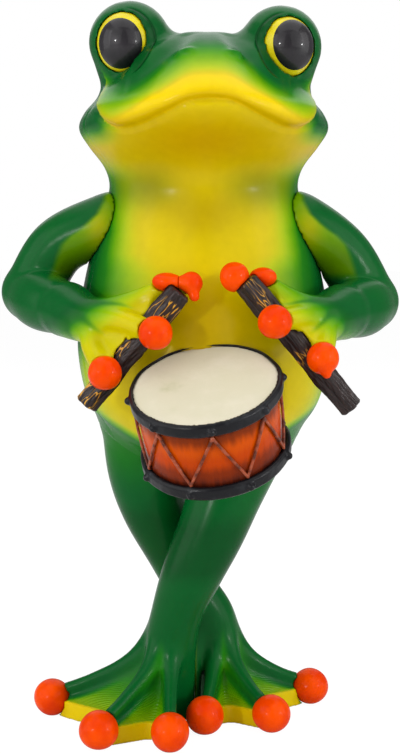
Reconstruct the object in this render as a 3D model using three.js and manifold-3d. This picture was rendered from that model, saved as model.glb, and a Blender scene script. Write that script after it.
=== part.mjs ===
// A standing frog that plays a small drum: a hand-painted garden statue, cast in resin and glued together.
//
// The castings are the body with its head, two arms that grip a twig each, and two crossed legs with
// webbed feet. Painted balls sit on the ends of the fingers and toes, domed eyes sit in sockets, and
// the drum is built from a shell, two hoops, two skins and a zigzag lacing.
//
// Units are millimetres, +Z is up, and the frog looks along -Y. "Right" and "left" are the frog's own.
import * as THREE from "three";
import { mergeVertices } from "three/addons/utils/BufferGeometryUtils.js";
import Module from "manifold-3d";

const wasm = await Module();
wasm.setup();

// The gap that every glued seam keeps.
const seam = 0.3;

// Body: the heights, half widths and reaches where its outline turns, from the belly up to the crown.
const bellyBottom = 108;
const bellyHeight = 157;
const bellyHalfWidth = 52.2;
const bellyFront = 50;
const bellyBack = 37;
const neckHeight = 226;
const neckHalfWidth = 38.8;
const neckFront = 35;
const neckBack = 30;
const jawHalfWidth = 51;
const snoutFront = 58;
const headBack = 33;
const crownHeight = 286.2;
const crownHalfWidth = 27;
const browPinch = 0.7;

// A height in the trunk or in the head, as a share of the way from the belly to the neck or from the
// neck to the crown, so that each follows both of its ends.
const trunkAt = (share) => THREE.MathUtils.lerp(bellyHeight, neckHeight, share);
const headAt = (share) => THREE.MathUtils.lerp(neckHeight, crownHeight, share);
const browPinchStart = headAt(0.465);

// Mouth: the line under the upper lip. It is high at the snout and low in the cheeks, and its ends turn up.
const mouthLow = headAt(0.336);
const mouthMiddleRise = 9;
const mouthEndRise = 11;
const mouthLowAngle = 40;
const mouthEndAngle = 64;
const mouthReach = headAt(0.43) - neckHeight;
const faceTurn = 3;
const lipProud = 3.2;
const lipHeight = 15;
const mouthGroove = 2.2;

// Eyes: a mound on each side of the crown, an eyelid on its front, an eyeball and a domed pupil.
const moundRadius = 16.3;
const rightEyeSpread = 29.4;
const leftEyeSpread = 30.6;
const moundForward = 14;
const moundFootRadius = 13.8;
const rightEyeHeight = crownHeight - 4.6;
const leftEyeHeight = crownHeight - 6.4;
const eyelidRadius = 15.5;
const eyelidAhead = 1.9;
const eyeNarrowing = 0.9;
const eyeballRadius = 11.7;
const eyeballDepth = 9;
const eyeballAhead = 9.6;
const pupilRadius = 9.8;
const pupilDepth = 7;
const pupilAhead = 12.6;
const pupilAside = 0.4;
const pupilUp = 1;
const gazeOut = 13;
const gazeDown = 6;

const nostrilSpread = 8.6;
const nostrilHeight = crownHeight - 12.2;
const nostrilRadius = 1.5;

// Arms.
const shoulderHeight = 209.6;
const shoulderAhead = 7.6;
const shoulderRadius = 12.2;
const elbowRadius = 12;
const forearmRadius = 12.4;
const wristRadius = 10.4;
const handRadius = 7.4;
const fingerRadius = 4.8;
const fingertipShare = 0.66;
const handWebThickness = 4.4;

// Twigs that serve as drumsticks.
const twigRidges = 5;
const twigRidgeHeight = 0.4;

// Balls on the fingers and toes.
const fingerBallRadius = 6.4;
const smallBallRadius = 4.7;
const toeBallRadius = 7.9;
const ballSole = 0.5;

// Legs and feet.
const hipRadius = 18;
const thighRadius = 15.6;
const kneeRadius = 14;
const shinRadius = 12.6;
const ankleRadius = 10.8;
const heelRadius = 9.6;
const leftInstep = 46;
const rightInstep = 40;
const webEdgeHeight = 7.6;
const innerWebSag = 13.5;
const outerWebSag = 8;
const toeRadius = 3.1;
const toeRootRadius = 4.9;

// Drum.
const drumRadius = 26.4;
const drumHeight = 33;
const hoopHeight = 5.4;
const hoopThickness = 2.3;
const skinThickness = 1.6;
const skinRecess = 0.7;
const rimWall = 1.2;
const drumTilt = 26;
const drumRoll = 8.8;
const drumBite = 1.2;
const drumHeadHeight = 151.4;
const hoopKnobs = 8;
const knobRadius = 1.6;
const knobProud = 0.9;
const lacingRadius = 0.7;
const lacedKnobs = 5;

// The hands play over the drum's head, and the elbows lie a little higher.
const rightHandHeight = drumHeadHeight + 21.2;
const leftHandHeight = drumHeadHeight + 21.8;

// Where the statue stands in its own frame: the middle of its box lies over the origin.
const middleOffset = new THREE.Vector3(1.5, 31.7, 0);

const paint = (colour, roughness) =>
  new THREE.MeshStandardMaterial({ color: colour, roughness, metalness: 0 });
const greenSkin = paint(0x0a7a2c, 0.25);
const orangePaint = paint(0xf24a08, 0.3);
const yellowPaint = paint(0xe8d60a, 0.25);
const blackGloss = paint(0x141216, 0.08);
const barkPaint = paint(0x3a241c, 0.45);
const drumOrange = paint(0xb8430c, 0.3);
const hoopBlack = paint(0x1d1a1e, 0.45);
const drumSkin = paint(0xe6dcc2, 0.6);
const lacingPaint = paint(0x8a3a1c, 0.4);

// Basic forms

// Only the places and triangles of a geometry, with the vertices that it shares merged.
function bare(geometry) {
  const plain = new THREE.BufferGeometry().setAttribute("position", geometry.attributes.position.clone());
  plain.setIndex(geometry.index);
  return mergeVertices(plain, 1e-4);
}

function solid(geometry) {
  const merged = bare(geometry);
  return new wasm.Manifold(
    new wasm.Mesh({
      numProp: 3,
      vertProperties: new Float32Array(merged.attributes.position.array),
      triVerts: new Uint32Array(merged.index.array),
    }),
  );
}

// The same form with every vertex moved outwards by the seam, to cut a neighbour with.
function swollen(geometry) {
  const merged = bare(geometry);
  merged.computeVertexNormals();
  const at = merged.attributes.position;
  const out = merged.attributes.normal;
  for (let i = 0; i < at.count; i++) {
    const x = at.getX(i) + seam * out.getX(i);
    const y = at.getY(i) + seam * out.getY(i);
    const z = at.getZ(i) + seam * out.getZ(i);
    at.setXYZ(i, x, y, z);
  }
  return merged;
}

// One or more overlapping geometries, as the solid that they make and the room that it needs.
function form(...geometries) {
  const join = (solids) => solids.reduce((whole, next) => whole.add(next));
  return {
    body: join(geometries.map(solid)),
    room: join(geometries.map((geometry) => solid(swollen(geometry)))),
  };
}

// The same closed geometry, with its triangles turned so that they face outwards.
function facingOut(geometry) {
  const at = geometry.attributes.position;
  const corner = (i) => new THREE.Vector3().fromBufferAttribute(at, i);
  const index = Array.from(geometry.index.array);
  let volume = 0;
  for (let i = 0; i < index.length; i += 3) {
    const [a, b, c] = index.slice(i, i + 3).map(corner);
    volume += a.dot(b.cross(c));
  }
  return volume < 0 ? geometry.setIndex(index.reverse()) : geometry;
}

// A closed skin over rings of points, with a point in the middle of each end.
function skinOver(rings) {
  const sides = rings[0].length;
  const middle = (ring) => ring.reduce((sum, p) => sum.add(p), new THREE.Vector3()).divideScalar(sides);
  const points = [...rings.flat(), middle(rings[0]), middle(rings[rings.length - 1])];
  const startPole = rings.length * sides;
  const index = [];
  for (let side = 0; side < sides; side++) {
    const next = (side + 1) % sides;
    index.push(startPole, next, side);
    for (let ring = 0; ring + 1 < rings.length; ring++) {
      const low = ring * sides;
      index.push(low + side, low + next, low + sides + next);
      index.push(low + side, low + sides + next, low + sides + side);
    }
    const last = (rings.length - 1) * sides;
    index.push(startPole + 1, last + side, last + next);
  }
  return facingOut(new THREE.BufferGeometry().setFromPoints(points).setIndex(index));
}

// A smooth curve through points, and a smooth row of numbers through the given ones.
const curveThrough = (points) => new THREE.CatmullRomCurve3(points, false, "catmullrom", 0.5);
function smoothly(values) {
  const curve = curveThrough(values.map((value) => new THREE.Vector3(value, 0, 0)));
  return (t) => curve.getPoint(t).x;
}

// A limb: a round tube along a smooth path, whose radius changes on the way, with rounded ends.
function limb(path, radii, { sides = 12, steps = 8, capSteps = 3 } = {}) {
  const curve = curveThrough(path);
  const radiusAt = smoothly(radii);
  const cap = (t, way) =>
    Array.from({ length: capSteps }, (_, i) => {
      const turn = (Math.PI / 2) * ((i + 1) / (capSteps + 1));
      const tangent = curve.getTangent(t);
      const radius = radiusAt(t);
      return {
        centre: curve.getPoint(t).addScaledVector(tangent, way * radius * Math.sin(turn)),
        tangent,
        radius: radius * Math.cos(turn),
      };
    });
  const tube = Array.from({ length: steps + 1 }, (_, i) => ({
    centre: curve.getPoint(i / steps),
    tangent: curve.getTangent(i / steps),
    radius: radiusAt(i / steps),
  }));
  const stations = [...cap(0, -1).reverse(), ...tube, ...cap(1, 1)];
  const across = new THREE.Vector3(0, 1, 0).cross(stations[0].tangent);
  const rings = stations.map(({ centre, tangent, radius }) => {
    across.addScaledVector(tangent, -across.dot(tangent)).normalize();
    return circle(centre, across, tangent.clone().cross(across), sides, () => radius);
  });
  return skinOver(rings);
}

// A ring of points round a centre, whose radius may change with the angle.
function circle(centre, across, over, sides, radiusAt) {
  return Array.from({ length: sides }, (_, side) => {
    const turn = (2 * Math.PI * side) / sides;
    return centre
      .clone()
      .addScaledVector(across, radiusAt(turn) * Math.cos(turn))
      .addScaledVector(over, radiusAt(turn) * Math.sin(turn));
  });
}

// A slab between two grids of points that have the same rows and columns.
function slab(top, bottom) {
  const rows = top.length;
  const columns = top[0].length;
  const under = rows * columns;
  const index = [];
  const quad = (a, b, c, d) => index.push(a, b, c, a, c, d);
  const at = (row, column) => row * columns + column;
  for (let row = 0; row + 1 < rows; row++) {
    for (let column = 0; column + 1 < columns; column++) {
      const corners = [at(row, column), at(row, column + 1), at(row + 1, column + 1), at(row + 1, column)];
      quad(...corners);
      quad(...corners.reverse().map((corner) => corner + under));
    }
    const end = columns - 1;
    quad(at(row, 0), at(row + 1, 0), at(row + 1, 0) + under, at(row, 0) + under);
    quad(at(row + 1, end), at(row, end), at(row, end) + under, at(row + 1, end) + under);
  }
  for (let column = 0; column + 1 < columns; column++) {
    const last = rows - 1;
    quad(at(0, column + 1), at(0, column), at(0, column) + under, at(0, column + 1) + under);
    quad(at(last, column), at(last, column + 1), at(last, column + 1) + under, at(last, column) + under);
  }
  return facingOut(new THREE.BufferGeometry().setFromPoints([...top.flat(), ...bottom.flat()]).setIndex(index));
}

// A web of skin between two fingers: a sheet that hangs between their middle lines. Its free edge
// reaches a share of the way along them, and is drawn in by the sag in the middle.
function web(first, second, { reach, sag, rows = 4, columns = 3 }) {
  const middle = Array.from({ length: rows + 1 }, (_, row) =>
    Array.from({ length: columns + 1 }, (_, column) => {
      const across = column / columns;
      const along = (row / rows) * (reach - sag * Math.sin(Math.PI * across));
      return first.getPoint(along).lerp(second.getPoint(along), across);
    }),
  );
  const facing = (row, column) => {
    const along = middle[Math.min(row + 1, rows)][column].clone().sub(middle[Math.max(row - 1, 0)][column]);
    const left = middle[Math.max(row, 1)][Math.max(column - 1, 0)];
    const right = middle[Math.max(row, 1)][Math.min(column + 1, columns)];
    return along.cross(right.clone().sub(left)).normalize();
  };
  const side = (way) =>
    middle.map((line, row) =>
      line.map((p, column) => p.clone().addScaledVector(facing(row, column), (way * handWebThickness) / 2)),
    );
  return slab(side(1), side(-1));
}

const ball = (centre, radius, squash = 1, across = 9, up = 6) =>
  new THREE.SphereGeometry(radius, across, up)
    .rotateX(Math.PI / 2)
    .scale(1 / Math.sqrt(squash), 1, squash)
    .translate(centre.x, centre.y, centre.z);

// Body

// The outline of the body: height, half width, reach to the front and reach to the back.
const bodyOutline = [
  [bellyBottom, 0, 0, 0],
  [bellyBottom + 1.2, 12, 13, 11],
  [bellyBottom + 4.5, 23, 22, 18],
  [bellyBottom + 10, 32.5, 30, 25],
  [bellyBottom + 18, 41, 38, 31],
  [bellyHeight - 19, 48.5, 46, 35.6],
  [bellyHeight, bellyHalfWidth, bellyFront, bellyBack],
  [trunkAt(0.261), 51.2, 47.4, 35],
  [trunkAt(0.522), 47.8, 42.5, 33],
  [trunkAt(0.754), 43.2, 37.6, 31],
  [trunkAt(0.899), 40, 35, 30],
  [neckHeight, neckHalfWidth, neckFront, neckBack],
  [headAt(0.116), 41, 38.5, 30.4],
  [headAt(0.249), 47, 46, 31.6],
  [headAt(0.365), jawHalfWidth, 53.5, 32.6],
  [headAt(0.465), 49, snoutFront, headBack],
  [headAt(0.581), 43.6, 57.6, headBack],
  [headAt(0.714), 40.8, 51, 32],
  [headAt(0.85), 35.5, 41.5, 29],
  [headAt(0.935), crownHalfWidth, 30, 23],
  [headAt(0.987), 17, 17, 13],
  [crownHeight, 0, 0, 0],
];
const outlineColumns = [0, 1, 2, 3].map((column) => smoothly(bodyOutline.map((row) => row[column])));
const outlineTable = Array.from({ length: 401 }, (_, i) => outlineColumns.map((at) => at(i / 400)));

// Half width and reaches of the body at a height.
function outlineAt(height) {
  const above = outlineTable.findIndex((row) => row[0] > height);
  const [low, high] = [outlineTable[above - 1], outlineTable[above]];
  const share = (height - low[0]) / (high[0] - low[0]);
  const [halfWidth, front, back] = [1, 2, 3].map((column) => THREE.MathUtils.lerp(low[column], high[column], share));
  return { halfWidth, front, back };
}

// How far the mouth line lies above its lowest point, at an angle from the snout in degrees.
function mouthLift(angle) {
  if (angle < mouthLowAngle) {
    return mouthMiddleRise * Math.cos(((Math.PI / 2) * angle) / mouthLowAngle) ** 2;
  }
  const rise = THREE.MathUtils.smoothstep(angle, mouthLowAngle, mouthEndAngle);
  const fall = 1 - THREE.MathUtils.smoothstep(angle, mouthEndAngle + 15, 150);
  return mouthEndRise * rise * fall;
}

// How far the skin stands out, at an angle and at an offset above the mouth line: the groove of the
// mouth and the rolled upper lip over it.
function lipRelief(angle, offset) {
  const fade = 1 - THREE.MathUtils.smoothstep(angle, mouthEndAngle - 4, mouthEndAngle + 6);
  const share = THREE.MathUtils.clamp(offset / lipHeight, 0, 1);
  const roll = lipProud * (1 - Math.exp(-8 * share)) * (1 - share) ** 1.5;
  const groove = mouthGroove * Math.exp(-((offset / 1.1) ** 2));
  return fade * (roll - groove);
}

// The body is a stack of rings. Near the mouth they bend, so that one ring runs along its whole line,
// and above it the front is pinched towards the snout, which leaves room beside it for the eyes.
function bodySkin(sides = 28, steps = 21) {
  const mouthOffsets = [-6, -2.8, -1.2, 0, 0.7, 2, 4.5, 8, 11.5, 15];
  const plain = Array.from({ length: steps - 1 }, (_, i) => outlineColumns[0]((i + 1) / steps));
  const nearMouth = (height) => height > mouthLow - 8 && height < mouthLow + 17.5;
  const heights = [...plain.filter((height) => !nearMouth(height)), ...mouthOffsets.map((o) => mouthLow + o)];
  heights.sort((a, b) => a - b);
  const rings = heights.map((ringHeight) => {
    const offset = ringHeight - mouthLow;
    const pull = Math.cos((Math.PI / 2) * Math.min(Math.abs(offset) / mouthReach, 1)) ** 2;
    return Array.from({ length: sides }, (_, side) => {
      const turn = (2 * Math.PI * side) / sides;
      const angle = THREE.MathUtils.radToDeg(Math.acos(Math.cos(turn - THREE.MathUtils.degToRad(faceTurn))));
      const height = ringHeight + pull * mouthLift(angle);
      const { halfWidth, front, back } = outlineAt(height);
      const relief = lipRelief(angle, offset);
      const ahead = Math.cos(turn);
      const pinch = browPinch * THREE.MathUtils.smoothstep(height, browPinchStart, crownHeight - 16);
      const depth = ahead > 0 ? front * ahead ** pinch : back;
      return new THREE.Vector3((halfWidth + relief) * Math.sin(turn), -(depth + relief) * ahead, height);
    });
  });
  return skinOver(rings);
}

// Eyes: each looks out to its side and a little down.
const eyes = [
  { name: "right", side: -1, spread: rightEyeSpread, height: rightEyeHeight },
  { name: "left", side: 1, spread: leftEyeSpread, height: leftEyeHeight },
].map(({ name, side, spread, height }) => {
  const mound = new THREE.Vector3(side * spread, -moundForward, height);
  const foot = new THREE.Vector3(side * (spread - 3), -moundForward + 5, height - 18);
  const turn = new THREE.Quaternion().setFromEuler(
    new THREE.Euler(
      THREE.MathUtils.degToRad(90 + gazeDown),
      0,
      THREE.MathUtils.degToRad(side * gazeOut),
      "ZYX",
    ),
  );
  const inEye = (geometry, ahead, aside = 0, up = 0) =>
    geometry.translate(side * aside, up, ahead).applyQuaternion(turn).translate(mound.x, mound.y, mound.z);
  return { name, mound, foot, inEye };
});

// A ball that is squeezed to the eye's oval, with its depth along the gaze.
const oval = (radius, depth) =>
  new THREE.SphereGeometry(radius, 14, 8)
    .rotateX(Math.PI / 2)
    .scale(eyeNarrowing, 1, depth / radius);

const mounds = eyes.map(({ foot, mound }) =>
  limb([foot, mound], [moundFootRadius, moundRadius], { sides: 13, steps: 2, capSteps: 3 }),
);
const eyelids = eyes.map(({ inEye }) => inEye(new THREE.SphereGeometry(eyelidRadius, 14, 9), eyelidAhead));
const bodyForm = form(bodySkin(), ...mounds, ...eyelids);
const eyeballs = eyes.map(({ inEye }) => form(inEye(oval(eyeballRadius, eyeballDepth), eyeballAhead)));
const pupils = eyes.map(({ inEye }) =>
  form(inEye(oval(pupilRadius, pupilDepth), pupilAhead, pupilAside, pupilUp)),
);
const nostrils = [-1, 1].map((side) => {
  const front = outlineAt(nostrilHeight).front;
  return solid(ball(new THREE.Vector3(side * nostrilSpread, -front + 1.2, nostrilHeight), nostrilRadius));
});

// Arms and twigs

// Every place in a hand is measured from the hub where its fingers meet: outwards, ahead and up.
// A finger is the row of places that it runs through, and the last one is its ball.
const armPlans = [
  {
    name: "right",
    side: -1,
    elbow: [19.3, 0, rightHandHeight + 9],
    bulge: [2.6, 0, 3.6],
    hub: [-7.4, -9, rightHandHeight],
    fingers: {
      little: { path: [[-2.5, 11, -10.5], [-7.6, 22, -18.6]], radius: fingerBallRadius },
      ring: { path: [[-13.6, 14, 0.6], [-26.7, 24, -3.4]], radius: fingerBallRadius },
      fore: { path: [[-13.4, 6, 5], [-23, 9, 9.4], [-29.7, 14, 14.4]], radius: smallBallRadius, squash: 0.8 },
      thumb: { path: [[-15, 4.5, 2.4], [-30, 7.5, 8.6], [-39.6, 15, 14.2]], radius: smallBallRadius },
    },
    twig: { foot: [0.4, 13, -31.5], tip: [-34.6, 17, 11], radii: [4.2, 4.5] },
  },
  {
    name: "left",
    side: 1,
    elbow: [16.5, 0, leftHandHeight + 4.4],
    bulge: [1.8, 0, 2.6],
    hub: [-5.6, -8, leftHandHeight],
    fingers: {
      little: { path: [[-0.2, 11, -7.6], [-2.7, 21, -14.4]], radius: fingerBallRadius },
      ring: { path: [[-10.6, 14, 1.4], [-20.2, 24, 0.2]], radius: fingerBallRadius },
      fore: { path: [[-10, 5, 5.2], [-16.8, 8, 10], [-24.2, 11, 16.4]], radius: smallBallRadius, squash: 0.8 },
      thumb: { path: [[-12, 4, 3], [-25, 7, 10.6], [-35.1, 15, 16.2]], radius: smallBallRadius + 1 },
    },
    twig: { foot: [9.8, 12, -33.8], tip: [-29.4, 16, 13.2], radii: [4.1, 4.6] },
  },
];

// A twig with bark ridges that wander and sawn ends.
function twigForm(foot, tip, radii) {
  const along = tip.clone().sub(foot).normalize();
  const across = new THREE.Vector3(0, 1, 0).cross(along).normalize();
  const over = along.clone().cross(across);
  const steps = 6;
  const rings = Array.from({ length: steps + 1 }, (_, i) => {
    const t = i / steps;
    const radius = THREE.MathUtils.lerp(radii[0], radii[1], t) + 0.2 * Math.sin(9 * t);
    const ridged = (turn) => radius + twigRidgeHeight * Math.cos(twigRidges * turn + 3 * t);
    return circle(foot.clone().lerp(tip, t), across, over, 3 * twigRidges, ridged);
  });
  return form(skinOver(rings));
}

const arms = armPlans.map((plan) => {
  const at = ([out, ahead, up]) => new THREE.Vector3(plan.side * out, -ahead, up);
  const elbow = at([bellyHalfWidth + plan.elbow[0], plan.elbow[1], plan.elbow[2]]);
  const hub = at([bellyHalfWidth + plan.hub[0], bellyFront + plan.hub[1], plan.hub[2]]);
  const inHand = (place) => hub.clone().add(at(place));
  const shoulder = at([neckHalfWidth + 1.2, shoulderAhead, shoulderHeight]);

  const upperArm = limb(
    [
      shoulder.clone().add(at([-8, -2, 3])),
      shoulder,
      elbow.clone().lerp(shoulder, 0.5).add(at(plan.bulge)),
      elbow,
    ],
    [shoulderRadius - 1, shoulderRadius, shoulderRadius - 0.2, elbowRadius],
    { sides: 12, steps: 6 },
  );
  const forearm = limb(
    [
      elbow,
      elbow.clone().lerp(hub, 0.33).add(at([1.6, 0, -0.4])),
      elbow.clone().lerp(hub, 0.72),
      hub,
    ],
    [elbowRadius, forearmRadius, wristRadius + 1.2, handRadius],
    { sides: 12, steps: 6 },
  );
  const bones = Object.entries(plan.fingers).map(([finger, { path, radius, squash = 1 }]) => {
    const places = [hub, ...path.map(inHand)];
    const radii = [handRadius - 1, fingerRadius, radius * squash * fingertipShare];
    return {
      finger,
      curve: curveThrough(places),
      bone: limb(places, radii, { sides: 7, steps: 4, capSteps: 1 }),
      tip: form(ball(places.at(-1), radius, squash)),
    };
  });
  const [little, ring, fore, thumb] = bones.map(({ curve }) => curve);
  const webs = [
    web(little, ring, { reach: 1, sag: 0.12 }),
    web(ring, fore, { reach: 0.86, sag: 0.02 }),
    web(fore, thumb, { reach: 0.6, sag: 0.1 }),
  ];
  const { foot, tip, radii } = plan.twig;
  return {
    name: plan.name,
    shoulder,
    arm: form(upperArm, forearm, ...bones.map(({ bone }) => bone), ...webs),
    twig: twigForm(inHand(foot), inHand(tip), radii),
    twigFoot: inHand(foot),
    balls: bones.map(({ finger, tip: fingertip }) => ({ finger, ...fingertip })),
  };
});

// Legs and feet

// The left leg crosses in front, so the left foot stands on the frog's right.
const legPlans = [
  {
    name: "left",
    path: [[20, -1, 124], [10, -9, 101], [3, -12, 83], [-4.6, -12, 66], [-11, -8.5, 48], [-13.8, -5, 32], [-13.6, -1, 6]],
    hub: [-13.6, -5],
    instep: leftInstep,
    toes: { inner: [-13.5, -41.3], middle: [-42.2, -38.5], outer: [-65, 3.6] },
  },
  {
    name: "right",
    path: [[-25, 3, 126], [-25, 6, 106], [-21, 9.5, 89], [-12, 11.5, 70], [-4.2, 12, 52], [4, 13.5, 36], [7, 17, 6]],
    hub: [6.2, 13.5],
    instep: rightInstep,
    toes: { inner: [0.5, -20.6], middle: [28.1, -18.4], outer: [46.9, 18.9] },
    filling: [[0, 9, 50], [-3.5, 6, 34], [-5.5, 3, 14], [-5.5, 0, 4]],
  },
];
const legRadii = [hipRadius, thighRadius, kneeRadius, shinRadius, ankleRadius, ankleRadius, heelRadius];

// The fan of a foot is solid down to the ground. Its top falls from the instep to the edges of the
// webs, and those edges are drawn in between the toes.
function footFan(hub, instep, toes) {
  const polar = toes.map(([x, y]) => {
    const reach = Math.hypot(x - hub[0], y - hub[1]);
    return { reach, turn: Math.atan2(x - hub[0], hub[1] - y) };
  });
  const rows = 6;
  const columns = 5;
  const top = Array.from({ length: rows + 1 }, () => []);
  const bottom = Array.from({ length: rows + 1 }, () => []);
  [innerWebSag, outerWebSag].forEach((sag, toe) => {
    for (let column = toe; column <= columns; column++) {
      const share = column / columns;
      const turn = THREE.MathUtils.lerp(polar[toe].turn, polar[toe + 1].turn, share);
      const straight = THREE.MathUtils.lerp(polar[toe].reach, polar[toe + 1].reach, share);
      const edge = straight - sag * Math.sin(Math.PI * share);
      for (let row = 0; row <= rows; row++) {
        const out = THREE.MathUtils.lerp(0.1, 1, row / rows);
        const x = hub[0] + out * edge * Math.sin(turn);
        const y = hub[1] - out * edge * Math.cos(turn);
        top[row].push(new THREE.Vector3(x, y, webEdgeHeight + (instep - webEdgeHeight) * (1 - out) ** 1.5));
        bottom[row].push(new THREE.Vector3(x, y, 0));
      }
    }
  });
  return slab(top, bottom);
}

// The casting is filled in between the two feet, behind the left one.
const fillingOf = (path) =>
  limb(path.map((place) => new THREE.Vector3(...place)), [3, 4.2, 4.5, 4.5], { sides: 6, steps: 3, capSteps: 1 });

const legs = legPlans.map(({ name, path, hub, instep, toes, filling }) => {
  const places = path.map((place) => new THREE.Vector3(...place));
  const toeBones = Object.entries(toes).map(([toe, [x, y]]) => {
    const end = new THREE.Vector3(x, y, toeBallRadius - ballSole);
    const on = (share, height) => new THREE.Vector3(hub[0], hub[1], 0).lerp(end, share).setZ(height * instep);
    const bone = [on(0, 0.96), on(0.3, 0.57), on(0.64, 0.36), end.clone().setZ(end.z + 1.5)];
    const radii = [toeRootRadius + 1, toeRootRadius, toeRadius + 0.4, toeRadius];
    return { toe, end, bone: limb(bone, radii, { sides: 7, steps: 5, capSteps: 1 }) };
  });
  return {
    name,
    hip: places[0],
    leg: form(
      limb(places, legRadii, { sides: 12, steps: 9 }),
      footFan(hub, instep, Object.values(toes)),
      ...toeBones.map(({ bone }) => bone),
      ...(filling ? [fillingOf(filling)] : []),
    ),
    balls: toeBones.map(({ toe, end }) => ({ toe, ...form(ball(end, toeBallRadius)) })),
  };
});

// Drum

// The drum's own frame stands on the middle of its lower rim, with +Z up its axis. The drum leans
// against the belly: the back of its head's rim bites a little into the skin.
const drumTurn = new THREE.Euler(
  THREE.MathUtils.degToRad(drumTilt),
  THREE.MathUtils.degToRad(-drumRoll),
  0,
  "YXZ",
);
const drumAxis = new THREE.Vector3(0, 0, 1).applyEuler(drumTurn);
const rimRadius = drumRadius + hoopThickness;
const rimRise = rimRadius * Math.sin(THREE.MathUtils.degToRad(drumTilt));
const rimBack = rimRadius * Math.cos(THREE.MathUtils.degToRad(drumTilt));
const touch = outlineAt(drumHeadHeight + rimRise).front;
const drumHead = new THREE.Vector3(0.2, -(touch + rimBack - drumBite), drumHeadHeight);
const drumFoot = drumHead.clone().addScaledVector(drumAxis, -drumHeight);
const drumFrame = new THREE.Matrix4().makeRotationFromEuler(drumTurn).setPosition(drumFoot);
const inDrum = (geometry) => geometry.applyMatrix4(drumFrame);
const turned = (profile) =>
  new THREE.LatheGeometry(profile.map(([x, y]) => new THREE.Vector2(x, y)), 24).rotateX(Math.PI / 2);
const disc = (radius, low, high) =>
  turned([
    [0, low],
    [radius, low],
    [radius, high],
    [0, high],
  ]);

// A hoop is stepped inside: its rim stands round the wider skin, and its band round the shell. The
// profile's heights run inwards from the drum's end, which way +1 puts below it and way -1 above.
const skinRadius = rimRadius - rimWall;
const hoop = (end, way) => {
  const inner = drumRadius + seam;
  const step = skinThickness + skinRecess + seam;
  const round = 0.6;
  const profile = [
    [skinRadius + seam, 0],
    [rimRadius - round, 0],
    [rimRadius, round],
    [rimRadius, hoopHeight - round],
    [rimRadius - round, hoopHeight],
    [inner, hoopHeight],
    [inner, step],
    [skinRadius + seam, step],
    [skinRadius + seam, 0],
  ];
  return facingOut(turned(profile.map(([radius, inwards]) => [radius, end - way * inwards])));
};

// Knobs stand round each hoop, and the lower ones lie half a step on from the upper ones.
const knobTurn = (knob) => -Math.PI / 2 + (2 * Math.PI * knob) / hoopKnobs;
function knobs(height, shift) {
  const length = knobProud + rimWall / 2;
  const out = rimRadius + knobProud - length / 2;
  return Array.from({ length: hoopKnobs }, (_, i) => {
    const turn = knobTurn(i + shift);
    return new THREE.CylinderGeometry(knobRadius, knobRadius, length, 6)
      .rotateZ(turn - Math.PI / 2)
      .translate(out * Math.cos(turn), out * Math.sin(turn), height);
  });
}

// The lacing zigzags over the front of the shell, from each upper knob to the lower ones beside it.
function lacing() {
  const radius = drumRadius + seam + lacingRadius;
  const low = hoopHeight + seam + lacingRadius;
  const high = drumHeight - hoopHeight - seam - lacingRadius;
  const slope = Math.atan2(high - low, (Math.PI * radius) / hoopKnobs);
  const stepsPerRun = 3;
  const rings = Array.from({ length: 2 * lacedKnobs * stepsPerRun + 1 }, (_, i) => {
    const run = i / stepsPerRun;
    const turn = knobTurn(run / 2 - lacedKnobs / 2);
    const height = THREE.MathUtils.lerp(high, low, Math.abs((run % 2) - 1));
    const lean = Number.isInteger(run) ? 0 : slope * (Math.floor(run) % 2 ? 1 : -1);
    const out = new THREE.Vector3(Math.cos(turn), Math.sin(turn), 0);
    const aside = new THREE.Vector3(0, 0, Math.cos(lean))
      .add(new THREE.Vector3(-Math.sin(turn), Math.cos(turn), 0).multiplyScalar(Math.sin(lean)));
    return circle(out.clone().multiplyScalar(radius).setZ(height), out, aside, 5, () => lacingRadius);
  });
  return skinOver(rings);
}

// Assembly: every piece is cut by the room of what it seats against, then named and coloured.

const statue = new THREE.Group();
statue.position.copy(middleOffset);

// Adds a finished solid to a group as a mesh in that group's own frame.
function addPart(group, name, shape, material) {
  const made = shape.getMesh();
  const geometry = new THREE.BufferGeometry()
    .setAttribute("position", new THREE.BufferAttribute(made.vertProperties, made.numProp))
    .setIndex(new THREE.BufferAttribute(made.triVerts, 1));
  geometry.applyMatrix4(group.matrix.clone().invert());
  geometry.computeVertexNormals();
  const mesh = new THREE.Mesh(geometry, material);
  mesh.name = name;
  group.add(mesh);
}

function groupAt(place, turn = new THREE.Euler()) {
  const group = new THREE.Group();
  group.position.copy(place);
  group.rotation.copy(turn);
  group.updateMatrix();
  statue.add(group);
  return group;
}

const cut = (shape, ...tools) => tools.reduce((rest, tool) => rest.subtract(tool), shape);
const rooms = (pieces) => pieces.map(({ room }) => room);

const sockets = [...rooms(eyeballs), ...rooms(pupils)];
addPart(groupAt(new THREE.Vector3()), "body", cut(bodyForm.body, ...sockets, ...nostrils), greenSkin);
eyes.forEach(({ name, mound }, i) => {
  const group = groupAt(mound);
  addPart(group, `${name}_eyeball`, cut(eyeballs[i].body, pupils[i].room), yellowPaint);
  addPart(group, `${name}_pupil`, pupils[i].body, blackGloss);
});

for (const { name, shoulder, arm, twig, twigFoot, balls } of arms) {
  const group = groupAt(shoulder);
  addPart(group, `${name}_arm`, cut(arm.body, bodyForm.room, twig.room, ...rooms(balls)), greenSkin);
  balls.forEach(({ finger, body }, i) => {
    const others = rooms(balls.slice(i + 1));
    addPart(group, `${name}_${finger}_finger_ball`, cut(body, bodyForm.room, twig.room, ...others), orangePaint);
  });
  addPart(groupAt(twigFoot), `${name}_drumstick`, twig.body, barkPaint);
}

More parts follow.
